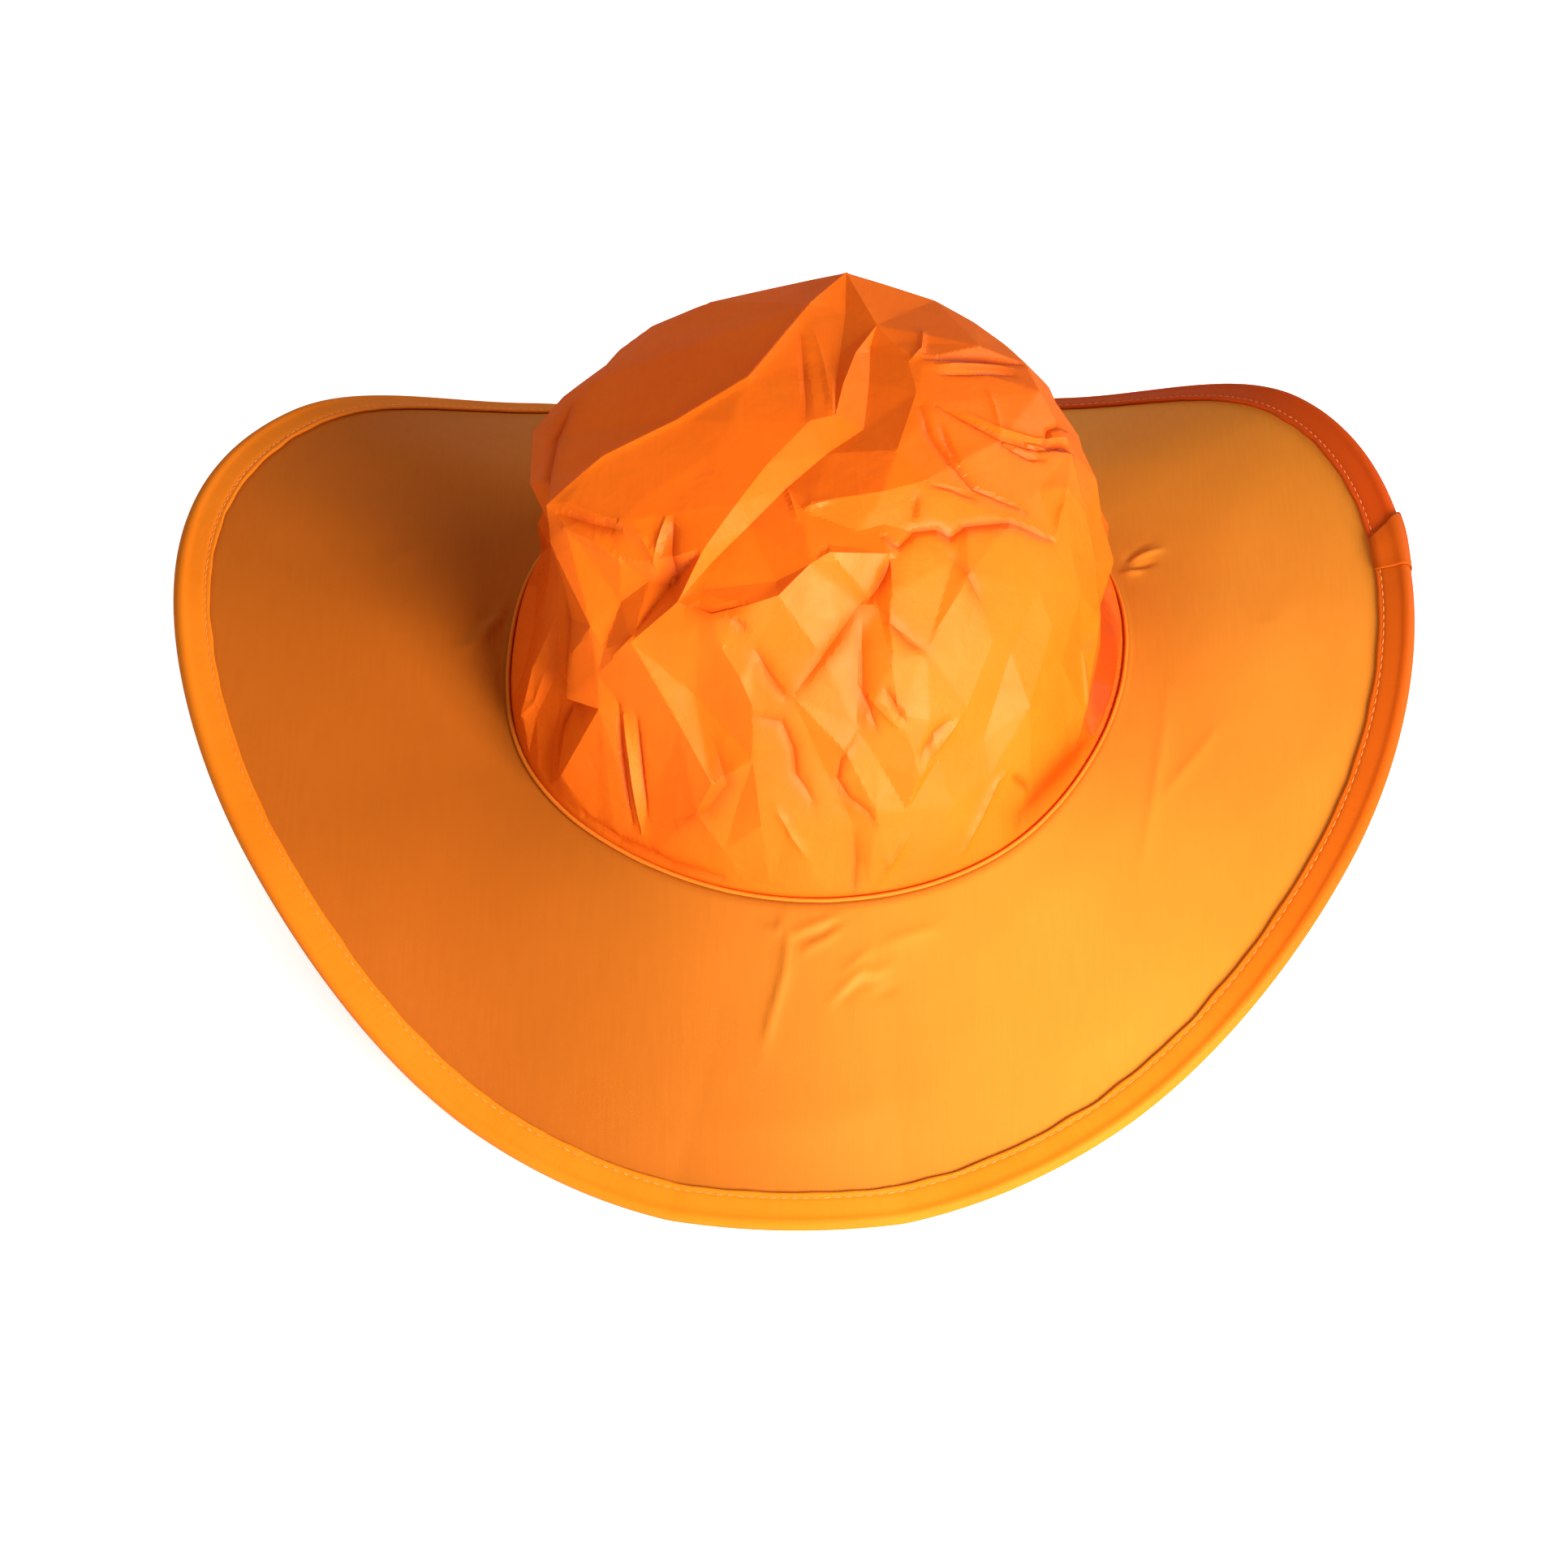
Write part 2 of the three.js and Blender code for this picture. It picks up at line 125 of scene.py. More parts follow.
def runOf(curve, turn):  # the way that a curve runs round the hat
    return curve(turn + hat["probe"]) - curve(turn - hat["probe"])


def seamOut(turn):  # level, away from the head opening
    run = runOf(seamPoint, turn)
    return unit(np.stack([run[..., 1], -run[..., 0], 0 * run[..., 0]], -1))


def beadPoint(turn):
    height = np.maximum(0, around("edgeHeight", turn)) + hat["beadRadius"] - hat["beadPressed"]
    return polar(around("edgeReach", turn) - hat["beadRadius"], turn, height)


def brimStart(turn):
    return seamPoint(turn) + seamOut(turn) * hat["footBand"] - (0, 0, hat["gap"] + hat["brimSheet"] / 2)


def edgeFrame(turn):  # outwards along the sheet at the rim, and up from it
    run = unit(runOf(beadPoint, turn))
    out = beadPoint(turn) - brimStart(turn)
    out = unit(out - run * np.sum(out * run, -1, keepdims=True))
    return out, np.cross(out, run)


# Meshes
def addObject(name, data):
    thing = bpy.data.objects.new(name, data)
    bpy.context.collection.objects.link(thing)
    return thing


def makePiece(name, points, faces, material, uv=None, smooth=True):
    mesh = bpy.data.meshes.new(name)
    mesh.from_pydata((np.asarray(points) * mm).tolist(), [], faces)
    if uv is not None:
        mesh.uv_layers.new(name="cloth").data.foreach_set("uv", (np.asarray(uv) * mm).ravel())
    mesh.polygons.foreach_set("use_smooth", [smooth] * len(mesh.polygons))
    mesh.update()
    mesh.materials.append(material)
    return addObject(name, mesh)


def addShares(piece, name, values):  # a number at each point, which the material reads
    piece.data.attributes.new(name, "FLOAT", "POINT").data.foreach_set("value", values)


def sectionFaces(steps, size, sections):  # quads between sections, each a closed loop of the same size
    i, j = np.meshgrid(np.arange(steps), np.arange(size), indexing="ij")
    here, there, k = i * size, (i + 1) % sections * size, (j + 1) % size
    return np.stack([here + j, there + j, there + k, here + k], -1).reshape(-1, 4)


def makeRing(name, sections, uvAcross, uvRound, material):  # sections[turn, place along the loop]
    turns, size = sections.shape[:2]
    across = np.append(uvAcross, uvAcross[0])
    i, j = np.meshgrid(np.arange(turns), np.arange(size), indexing="ij")
    corners = ((0, 0), (1, 0), (1, 1), (0, 1))
    uv = np.stack([np.stack([(i + a) * (uvRound / turns), across[j + b]], -1) for a, b in corners], 2)
    faces = sectionFaces(turns, size, turns).tolist()
    return makePiece(name, sections.reshape(-1, 3), faces, material, uv.reshape(-1, 2))


def loopLengths(x, y):  # how far along a section each of its points lies
    return np.concatenate([[0], np.cumsum(np.hypot(np.diff(x), np.diff(y)))])


# Materials
def linear(code):  # sRGB hex to the linear colour that a shader takes
    parts = [int(code[i:i + 2], 16) / 255 for i in (1, 3, 5)]
    return [c / 12.92 if c <= 0.04045 else ((c + 0.055) / 1.055) ** 2.4 for c in parts] + [1]


def newMaterial(name):
    material = bpy.data.materials.new(name)
    material.use_nodes = True
    material.node_tree.nodes.clear()
    return material, material.node_tree


def addNode(tree, kind, settings=None, links=None):  # a link comes from a socket, or from a node's first one
    node = tree.nodes.new(kind)
    for key, value in (settings or {}).items():
        if isinstance(key, int) or key in node.inputs:
            node.inputs[key].default_value = value
        else:
            setattr(node, key, value)
    for key, source in (links or {}).items():
        socket = source.outputs[0] if isinstance(source, bpy.types.Node) else source
        tree.links.new(socket, node.inputs[key])
    return node


noiseSpan = {"From Min": 0.3, "From Max": 0.7}  # most of a noise texture lies between these


def wovenCloth(name, cloth):  # plain-woven polyester: semi-gloss, and so thin that light glows through it
    material, tree = newMaterial(name)
    flat = addNode(tree, "ShaderNodeUVMap", {"uv_map": "cloth"})
    place = addNode(tree, "ShaderNodeTexCoord").outputs["Object"]

    # Weave: a wave along each thread direction, and their product goes over and under
    turnsPerMetre = 2 * math.pi / (cloth["threadMm"] * mm)
    split = addNode(tree, "ShaderNodeSeparateXYZ", links={0: flat}).outputs
    waves = []
    for axis in "XY":
        phase = addNode(tree, "ShaderNodeMath", {"operation": "MULTIPLY", 1: turnsPerMetre}, {0: split[axis]})
        waves.append(addNode(tree, "ShaderNodeMath", {"operation": "SINE"}, {0: phase}))
    over = addNode(tree, "ShaderNodeMath", {"operation": "MULTIPLY"}, {0: waves[0], 1: waves[1]})
    threads = addNode(tree, "ShaderNodeMapRange", {"From Min": -1.0, "From Max": 1.0}, {"Value": over})

    # Unevenness: wide patches, crumples, and slubs drawn out along one thread direction
    mottle = addNode(tree, "ShaderNodeTexNoise", {
        "Scale": 1 / (cloth["mottleMm"] * mm), "Detail": 3.0, "Roughness": 0.6}, {"Vector": place})
    crush = addNode(tree, "ShaderNodeTexNoise", {
        "Scale": 1 / (cloth["crushMm"] * mm), "Detail": 4.0, "Roughness": 0.55, "Distortion": 0.6,
    }, {"Vector": place})
    drawn = addNode(tree, "ShaderNodeMapping", {"Scale": (1.0, cloth["slubStretch"], 1.0)}, {"Vector": flat})
    slubs = addNode(tree, "ShaderNodeTexNoise", {"Scale": 1 / (cloth["slubMm"] * mm), "Detail": 2.0},
                    {"Vector": drawn})

    # Colour: faded patches under the shades of threads and slubs
    patches = addNode(tree, "ShaderNodeMapRange", noiseSpan, {"Value": mottle})
    colour = addNode(tree, "ShaderNodeMix", {
        "data_type": "RGBA", 6: linear(cloth["colour"]), 7: linear(cloth["faded"])}, {0: patches}).outputs[2]
    if "shadeColour" in cloth:  # painted shade: darker towards one side, which stands in for the side that gets less light
        across = addNode(tree, "ShaderNodeVectorMath", {
            "operation": "DOT_PRODUCT", 1: (1.0, cloth["shadeSlant"], 0.0)}, {0: place}).outputs["Value"]
        share = addNode(tree, "ShaderNodeMapRange", {
            "From Min": cloth["shadeFrom"] * mm, "From Max": cloth["shadeTo"] * mm,
            "interpolation_type": "SMOOTHSTEP"}, {"Value": across})
        colour = addNode(tree, "ShaderNodeMix", {"data_type": "RGBA", 6: linear(cloth["shadeColour"])},
                         {0: share, 7: colour}).outputs[2]
    thread = addNode(tree, "ShaderNodeMapRange", {"To Min": 1 - cloth["threadShade"]}, {"Value": threads})
    shade = addNode(tree, "ShaderNodeMapRange", {
        **noiseSpan, "To Min": cloth["slubDark"], "To Max": cloth["slubLight"]}, {"Value": slubs})
    both = addNode(tree, "ShaderNodeMath", {"operation": "MULTIPLY"}, {0: thread, 1: shade})
    tint = addNode(tree, "ShaderNodeVectorMath", {"operation": "SCALE"}, {0: colour, "Scale": both})
    for mark in ("creased", "turned"):  # painted shade: a crease gets the darker crease colour, and the tape past its lap a darker, redder one
        if mark in cloth:
            share = addNode(tree, "ShaderNodeAttribute", {"attribute_name": mark}).outputs["Fac"]
            tint = addNode(tree, "ShaderNodeMix", {"data_type": "RGBA", 7: linear(cloth[mark])},
                           {0: share, 6: tint}).outputs[2]

    # Shine, relief, and the light that comes through
    gloss = addNode(tree, "ShaderNodeMapRange", {
        **noiseSpan, "To Min": cloth["glossy"], "To Max": cloth["dull"]}, {"Value": crush})
    weave = addNode(tree, "ShaderNodeBump", {"Strength": cloth["weaveDepth"], "Distance": 0.12 * mm},
                    {"Height": threads})
    crumple = addNode(tree, "ShaderNodeBump", {"Strength": cloth["crushDepth"], "Distance": 1.0 * mm},
                      {"Height": crush, "Normal": weave})
    body = addNode(tree, "ShaderNodeBsdfPrincipled", {
        "IOR": 1.5, "Specular IOR Level": cloth["specular"], "Specular Tint": linear(cloth["shine"]),
        "Sheen Weight": cloth["sheen"], "Sheen Roughness": 0.4, "Sheen Tint": linear(cloth["sheenTint"]),
    }, {"Base Color": tint, "Roughness": gloss, "Normal": crumple})
    glow = addNode(tree, "ShaderNodeBsdfTranslucent", {"Color": linear(cloth["glow"])}, {"Normal": crumple})
    mixed = addNode(tree, "ShaderNodeMixShader", {0: cloth["through"]}, {1: body, 2: glow})
    addNode(tree, "ShaderNodeOutputMaterial", links={"Surface": mixed})
    return material


# Taffeta has about 40 threads a centimetre, drawn at twice that spacing so that the weave shows at all
taffeta = {
    "colour": "#EE7A18", "faded": "#F28622", "mottleMm": 40,
    "threadMm": 0.55, "threadShade": 0.07, "weaveDepth": 0.25,
    "slubMm": 0.9, "slubStretch": 0.06, "slubDark": 0.96, "slubLight": 1.02,
    "crushMm": 9, "crushDepth": 0.12, "glossy": 0.42, "dull": 0.56, "specular": 0.12, "shine": "#FFDEB0",
    "sheen": 0.0, "sheenTint": "#FFD9A0", "glow": "#FF5A08", "through": 0.28,
    "shadeSlant": 0.0,  # turns the direction in which the painted shade darkens
}
# Crumpled: every facet takes the light by itself, and grooves get painted shade in a darker, redder colour
crownTaffeta = wovenCloth("crumpled polyester taffeta", {
    **taffeta, "colour": "#E66A0C", "faded": "#EA7414", "creased": "#B04000", "crushMm": 7,
    "crushDepth": 0.28, "glossy": 0.36, "dull": 0.5, "specular": 0.34, "sheen": 0.15, "sheenTint": "#FF9A30"})
# Stretched by the spring: smooth, with one broad soft shine, and painted shade that darkens it towards the
# left front
brimTaffeta = wovenCloth("stretched polyester taffeta", {
    **taffeta, "colour": "#DA8628", "faded": "#DC8A2C", "shadeColour": "#AA5814", "shadeFrom": -130, "shadeTo": 95,
    "shadeSlant": 0.25, "crushDepth": 0.04, "glossy": 0.46, "specular": 0.2, "glow": "#FF9828",
    "through": 0.14})
# Folded tape: coarser threads, and so many layers that hardly any light comes through. Painted shade darkens
# it towards the right, and makes it darker and redder past its lap
tapeTaffeta = wovenCloth("folded polyester tape", {
    **taffeta, "colour": "#DA7012", "faded": "#DE7818", "shadeColour": "#BC500C", "shadeFrom": 180, "shadeTo": 90,
    "threadMm": 0.7, "threadShade": 0.14, "crushMm": 6, "crushDepth": 0.08, "dull": 0.55,
    "turned": "#C4480E", "through": 0.08})
# Folded seam: the plain cloth as a thin bright line
weltTaffeta = wovenCloth("folded seam of taffeta", {**taffeta, "colour": "#E87E20", "faded": "#EC8628"})


def spunThread(name, thread):  # polyester sewing thread: two plies twisted, with a soft shine
    material, tree = newMaterial(name)
    place = addNode(tree, "ShaderNodeTexCoord").outputs["Object"]
    twist = addNode(tree, "ShaderNodeTexWave", {
        "Scale": thread["bandAtOne"] / (thread["plyMm"] * mm), "Distortion": 1.0,
        "bands_direction": "DIAGONAL"}, {"Vector": place}).outputs["Fac"]
    colour = addNode(tree, "ShaderNodeMix", {
        "data_type": "RGBA", 6: linear(thread["dark"]), 7: linear(thread["light"])}, {0: twist}).outputs[2]
    rough = addNode(tree, "ShaderNodeMapRange", {"To Min": 0.4, "To Max": 0.6}, {"Value": twist})
    bump = addNode(tree, "ShaderNodeBump", {"Strength": 0.4, "Distance": 0.05 * mm}, {"Height": twist})
    body = addNode(tree, "ShaderNodeBsdfPrincipled", {"IOR": 1.5, "Sheen Weight": 0.2},
                   {"Base Color": colour, "Roughness": rough, "Normal": bump})
    addNode(tree, "ShaderNodeOutputMaterial", links={"Surface": body})
    return material


sewingThread = spunThread("spun polyester thread", {
    "dark": "#D66210", "light": "#F09042", "plyMm": 0.35,
    "bandAtOne": 0.314,  # metres from band to band of a wave texture whose scale is 1
})
print("materials made")


# Crown: a crumpled shell of flat facets between straight folds, with fine creases on them
crown = {
    "wall": 1.8, "flatReach": 165, "top": 98, "seamMean": 57,
    "footSteps": 720, "pace": 1.0, "backPace": 2.2, "insidePace": 3.0,  # spacing of mesh points
    "frontTurn": 106, "topFrom": 0.48,  # where the closer spacing is used
    "clearing": 0.62, "hemClear": 0.6,  # room round mesh points and at the hem, as shares of their spacing
    "bulge": 0.1, "bulgeFrom": 0.05,  # share of the crown's roundness that a facet keeps from that climb up
    "footEvery": 4, "footRows": (0, 0.02),  # corners of the even band at the foot
    "jitter": 2.4, "crumple": 2.2, "seed": 11, "foldClear": 0.6,  # chance corners of the plain cloth
    "bareFrom": 260, "bareTo": 333,  # no chance corners between these turns
    "creased": 1.5, "deepest": 1.2, "creasedFrom": 0.015,  # heights of the fine creases, limited inwards
    "probe": 0.003, "probeTo": 0.985,  # in climb, for slopes up the crown
    "wallFrom": 0.03,  # climb from which the wall is as thick square to its facets
    "fullShadeDepth": 2.4, "shadeCurve": 0.6,  # depth at which a crease has its whole painted shade, and the way there
    "insideRounding": 1, "sharpFold": 11,
    "threadReach": 92, "threadRise": 170, "threadsTo": 0.5,  # flat size of the wall's cloth, and its top
}
crownRows = table("climb rise width front back shift", [
    (0, 0, 1, 1, 1, 0),
    (0.15, 24, 0.965, 0.95, 0.97, 0.5),
    (0.3, 48, 0.915, 0.86, 0.9, 0.5),
    (0.43, 68, 0.87, 0.74, 0.81, -1),
    (0.54, 82, 0.79, 0.58, 0.68, -2.5),
    (0.7, 91, 0.57, 0.39, 0.47, -3),
    (0.85, 96, 0.29, 0.19, 0.23, -1),
    (1, 98, 0, 0, 0, 0),
])
# Corners where folds meet: turn, climb, lift off the smooth crown. A run is named for its first corner,
# and the letters of the others go on from there.
places = {
    "apex": [(170, .685, 11)], "ridgeA": [(181.5, .79, 8), (282, .89, 6.5), (303, .77, 6), (301, .635, 6)],
    "tip": [(299, .505, 6)], "backA": [(184, .57, 3), (204, .56, 1.2), (223, .55, -2.2)],
    "lobeA": [(238, .53, -2), (254, .5, 1.5), (265, .465, 5.5), (281, .45, 3.5)],
    "dipA": [(250, .585, -.5), (262, .55, .5), (275, .53, 1), (289, .51, 2)],
    "rimA": [(161, .56, 4.3), (140, .54, 1.7), (121, .51, -.5), (106, .47, -2), (94, .44, -1),
        (151, .55, 3.5), (130, .53, .5), (112, .49, -1.5), (100, .455, -1.5)],
    "wedgeA": [(167, .79, 5), (159.5, .91, 3)], "wedgeFoot": [(12, .883, 3.5)],
    "spikeTop": [(149.5, .815, 6.5)], "spikeA": [(141, .91, 5.5), (55, .957, 4.5)],
    "gullyA": [(144, .86, 3.5), (92, .92, 2), (27, .85, .5), (5, .8, .5), (353, .715, .8), (346, .615, 1.5),
        (340, .53, 2.5)],
    "crestA": [(134, .835, 5.5), (116, .84, 5.5), (73, .838, 5.5), (30, .757, 5.5)],
    "stripA": [(355.5, .86, 5), (346, .745, 6), (342.5, .645, 6.5), (338.5, .545, 6.5)],
    "node": [(334.5, .466, 5)], "shelfA": [(.5, .67, 4), (19, .675, 5.5), (31, .675, 5.5)],
    "knot": [(358.5, .655, 2.5)],
    "stepA": [(17, .612, 2), (18.5, .56, 1.5), (23, .586, 1), (28.5, .578, 1), (35.5, .565, .5),
        (47, .53, 0), (56.5, .455, .5)],
    "sideA": [(67, .505, 2.5), (77.5, .525, 3)],
    "shoulderA": [(341, .46, 5.5), (347.5, .477, 6.5), (353.5, .493, 7), (359.5, .536, 7), (3.5, .558, 5.5),
        (15.5, .55, 3)],
    "browA": [(4.5, .576, 3.5), (10.5, .604, 2)], "lipA": [(337.5, .486, 3.5), (353, .513, 4)],
    "sliver": [(327, .59, 5.5)], "sliverFoot": [(328, .51, 2.5)], "hollow": [(331, .486, -2.5)],
    "brightA": [(318, .548, 4.5), (306, .5, 5), (320, .495, 2)], "darkA": [(303, .53, 5), (314, .545, 4.2)],
    "cornerA": [(302.5, .46, 5), (315.7, .378, 3.2), (320.5, .432, -1), (326.5, .48, -1.2)],
    "cornerF": [(306, .34, -1)], "pocketF": [(318.5, .35, 2)], "ridgeE": [(325.5, .388, 4)],
    "pocketA": [(317.3, .3, 2), (309.2, .28, 2.2), (311.2, .225, 3), (318.6, .245, 2.2), (322.5, .265, .6)],
    "lowA": [(312, .075, 2.4), (328.7, .052, -.5)], "underC": [(309.5, .203, -2.5)],
    "underA": [(305.5, .165, -3), (304.6, .09, -3)], "lobeE": [(298, .19, 1), (298, .1, 2)],
    "midA": [(320, .813, 6.3), (327, .738, 5.6), (320.5, .615, 5.5), (331.5, .575, 5.5)],
    "foldA": [(68, .797, 5), (67.5, .662, 2.8), (82, .515, 1)],
    "slackA": [(61, .544, 0), (98.5, .596, 3.5)], "tuckA": [(111, .813, 5.8), (115.5, .571, 1.8)],
    "slackC": [(120, .675, 4.5)], "leftA": [(292, .4, -5), (298, .3, -4), (303, .22, -3), (300, .1, -1)],
    "vA": [(8.5, .483, .5), (5, .453, .5), (1, .415, .5), (355, .357, .3), (348.5, .421, 1)],
    "bandA": [(7.5, .424, -.5), (6, .303, -.5), (12, .48, 0), (13.5, .457, 1.5), (20, .405, 0),
        (13, .394, 2), (13.5, .319, 1.5)],
    "slopeA": [(338.5, .438, 3), (342.5, .42, 2.5), (346, .378, 2), (348, .338, 1.5)],
    "notchA": [(16, .542, 2), (11, .492, -1), (15, .495, 1.5), (29.5, .517, -.5), (31.5, .49, 1)],
    "streakA": [(34, .38, -.5), (27, .3, -.5), (20.5, .23, -.5), (14.5, .15, -.5)],
    "glareA": [(19, .3, 1.5), (16.5, .21, 1.5)],
    "patchA": [(335, .278, 1.5), (341.5, .2, 2.5), (339, .14, 2), (348, .25, .5), (350, .14, 1)],
    "dentA": [(4, .27, 1), (10, .24, -2), (16, .25, .5), (9, .17, 1)],
    "rightA": [(104, .4, -1), (92, .3, -3.5), (86, .22, -5.5), (104, .09, -5), (76, .13, -8), (62, .05, -4),
        (89, .1, -8), (69, .07, -6)],
    "bulgeA": [(66, .24, 1), (54, .13, 2)],
    "heelA": [(262, .15, -5), (273, .16, -7), (284, .15, -5.5), (292, .13, -1.5), (264, .06, -3.5),
        (275, .07, -5), (285, .06, -3)],
    "notchF": [(248, .4, -4), (266, .375, -8), (282, .34, -9), (294, .325, -6)],
    "footA": [(252, .27, -2), (268, .255, -5), (282, .235, -6), (294, .21, -3)],
}
# Folds from corner to corner, where ridgeA-D stands for ridgeA ridgeB ridgeC ridgeD
folds = """
apex ridgeA-D tip; apex backA-C lobeA-D; dipA-D; apex rimA rimF rimB rimG rimC rimH rimD rimI rimE; apex
wedgeA-B wedgeFoot; wedgeFoot spikeB spikeA spikeTop; apex spikeTop gullyA-G node; wedgeFoot stripA-D
node; spikeTop crestA-D; gullyD crestD; crestD shelfC; shelfA-C; gullyE knot shelfA; stepA stepC-G;
stepB-C; stepG sideA-B; node shoulderA-F stepB; browA-B stepA; browA knot; node lipA-B shoulderD; tip
brightB-C; tip darkA-B; crestC foldA-C; crestB tuckA-B; brightA sliverFoot; sliver sliverFoot hollow node;
brightC cornerD; tip cornerA-D hollow; cornerB pocketF ridgeE; ridgeE node; ridgeE pocketE; pocketF
pocketA; cornerF pocketB; cornerA cornerF; pocketB pocketA ridgeE; pocketB-E; pocketD lowA; pocketE lowB;
pocketC underC underA-B; underC pocketD; lobeE-F; leftA-D; cornerA leftA; vA-E; vA bandA-B; bandC-E; bandC
bandF-G; node slopeA-D; notchA-C notchA; notchD-E; notchE streakA; bandE streakA; streakA-D; patchA-C;
patchD-E; dentA-C; dentB dentD; rightA-C; rightD rightG rightE rightH rightF; heelA-D; heelE-G; bulgeA-B;
notchF-I; footA-D
"""
# Rows of plain cloth between the folds: spacing round the crown, lift, distance kept from other corners
fill = table("climb spacing lift clear", [
    (0.065, 8, 0, 8),
    (0.15, 9, 0, 8),
    (0.24, 10, 0, 8),
    (0.33, 11, 0, 8),
    (0.42, 12, 0, 9),
    (0.5, 14, 0.5, 11),
])
# Fine creases on the facets: height (a groove is below 0, and gets painted shade), width, and places of turn
# and climb
crownCreases = {
    "long crease": (-.9, 1, [(68, .797), (67.5, .73), (67.5, .662), (72.5, .592), (82, .515)]),
    "long crease lip": (.5, 1.2, [(72, .735), (71.5, .67), (77, .6), (86, .525)]),
    "second": (-.5, .8, [(58, .768), (51, .726), (47.5, .689)]),
    "third": (-.7, .9, [(62, .819), (49.5, .77), (45, .694), (45, .625), (49.5, .573), (53, .53)]),
    "fourth": (-.5, .8, [(31.5, .669), (38.5, .644), (43, .603)]),
    "tuck top": (-.9, .9, [(111, .813), (112.5, .752), (115.5, .571)]),
    "tuck": (.7, 1.6, [(104, .805), (107, .74), (111, .62)]),
    "tuck low": (-.6, .8, [(98, .794), (102, .73), (106.5, .634)]),
    "upright": (.5, .9, [(93, .705), (83, .696), (69.5, .669)]),
    "knot top": (-1, 1.1, [(78.5, .579), (85, .575), (94, .503)]),
    "knot low": (-1.1, 1.2, [(76.5, .571), (81, .539), (82.5, .505)]),
    "small ridge": (.7, .9, [(135, .746), (120, .804), (110.5, .84)]),
    "step": (-1.2, 1.1, [(16, .588), (18.5, .561), (23, .586), (28.5, .578), (31, .556), (35.5, .565),
                         (47, .531), (56.5, .454)]),
    "step end": (.5, 1, [(56.5, .454), (61.5, .485), (68, .5)]),
    "band line": (-.5, .8, [(27.5, .653), (24, .611)]),
    "streak one": (-.45, .9, [(191, .874), (209, .95), (352, .868)]),
    "streak two": (.4, .9, [(182, .852), (171.5, .953), (10.5, .897)]),
    "streak three": (.4, .8, [(145, .967), (10, .884)]),
    "knot ray": (.4, .8, [(358.5, .661), (5.5, .673)]),
    "knot ridge": (.7, .8, [(353.5, .71), (357, .639)]),
    "lens": (-.9, 1.2, [(336, .463), (341, .464), (347.5, .478)]),
    "v one": (-.8, 1.4, [(8.5, .483), (5, .453), (1, .415), (355.5, .361)]),
    "v three": (-.7, 1.1, [(12, .48), (13.5, .457), (17, .424), (20, .404)]),
    "v left": (-.7, 1.2, [(349, .418), (351.5, .383), (354, .354)]),
    "small left": (-.5, 1, [(344.5, .457), (347.5, .448)]),
    "fleck": (.9, 1.3, [(8.5, .349), (13.5, .299)]),
    "fleck shade": (-.7, 1, [(11.5, .36), (14.5, .311)]),
    "band foot": (-.6, 1.1, [(7, .365), (9.5, .3)]),
    "dent rim": (-.6, 1.3, [(6, .285), (3, .256), (2.5, .22), (4.5, .187), (7.5, .164), (9, .139)]),
    "left curve": (-.7, 1.5, [(348.5, .32), (353, .314), (355, .273), (355.5, .229), (358.5, .183)]),
    "streak ridge": (.7, 1.2, [(18, .229), (21.5, .26), (25.5, .287)]),
    "streak groove": (-.6, 1, [(17.5, .246), (20, .274), (23, .287)]),
    "front foot": (.6, 1.6, [(352.5, .169), (355, .124), (358, .079)]),
    "foot bright": (.6, 1.4, [(10, .03), (12.5, .07), (15, .107)]),
    "low right": (.8, 1.6, [(24.5, .04), (28, .091), (32, .141), (35, .153)]),
    "low marks": (-.6, 1, [(35.5, .134), (39, .081)]),
    "corner streak": (-1, 1.3, [(302.5, .508), (311, .524), (318.5, .536)]),
    "corner line B": (.8, .9, [(305.5, .497), (313.5, .504), (320, .494)]),
    "corner line A": (.8, .9, [(318, .55), (324, .541), (328, .514)]),
    "sliver": (1, 1.1, [(328, .586), (328, .546), (328, .514)]),
    "sliver shade": (-1.1, 1.7, [(329.5, .588), (331, .534), (332.5, .494)]),
    "node ridge": (.5, .9, [(334.5, .466), (331.5, .459), (325.5, .393), (321, .351)]),
    "long ridge": (.5, 1.1, [(170, .685), (181.5, .79), (282, .889), (303, .768), (301.5, .633),
                             (299, .506)]),
    "pleat": (1.3, 1.7, [(323.5, .253), (326, .184), (328, .101), (329, .056)]),
    "pleat left": (-.9, 1, [(322, .266), (324, .187), (326, .104), (327, .065)]),
    "pleat right": (-.8, 1, [(326, .255), (328, .162), (329.5, .09)]),
    "long crease foot": (-.7, .9, [(65.5, .656), (67.5, .596), (70.5, .571)]),
    "low shade": (-2.4, 4, [(37, .04), (44.5, .055), (50, .05), (58, .03)]),
    "foot groove": (-.7, 1.3, [(317, .02), (325, .018), (335, .018), (344, .02)]),
    "side shade": (-3.4, 6, [(98, .1), (88, .07), (78, .05), (70, .035), (62, .025)]),
    "left groove": (-1.1, 1.8, [(300.5, .47), (303.5, .4), (305.5, .34), (308.5, .275), (310.5, .215)]),
    "left low groove": (-1, 2, [(309.5, .2), (307.5, .14), (309, .08)]),
    "lobe groove": (-1, 1.6, [(262, .55), (275, .53), (288, .512), (296, .5)]),
    "lobe ray": (.6, 1.4, [(297, .06), (299.5, .13), (300.5, .2)]),
    "bright edge": (.6, 1.6, [(62.5, .213), (58, .222), (55, .132)]),
    "front shade": (-.5, 1.8, [(5.5, .12), (6, .07), (5.5, .014)]),
    "notch": (-.9, 1.6, [(16, .542), (13.5, .515), (11, .492)]),
    "second notch": (-.6, 1.6, [(29.5, .52), (31.5, .49), (33, .45)]),
    "band": (-.5, 2.4, [(9, .47), (8, .42), (7.5, .37), (7, .31)]),
    "soft patch": (-.6, 3, [(341, .27), (344, .2), (341, .15), (335, .11)]),
}


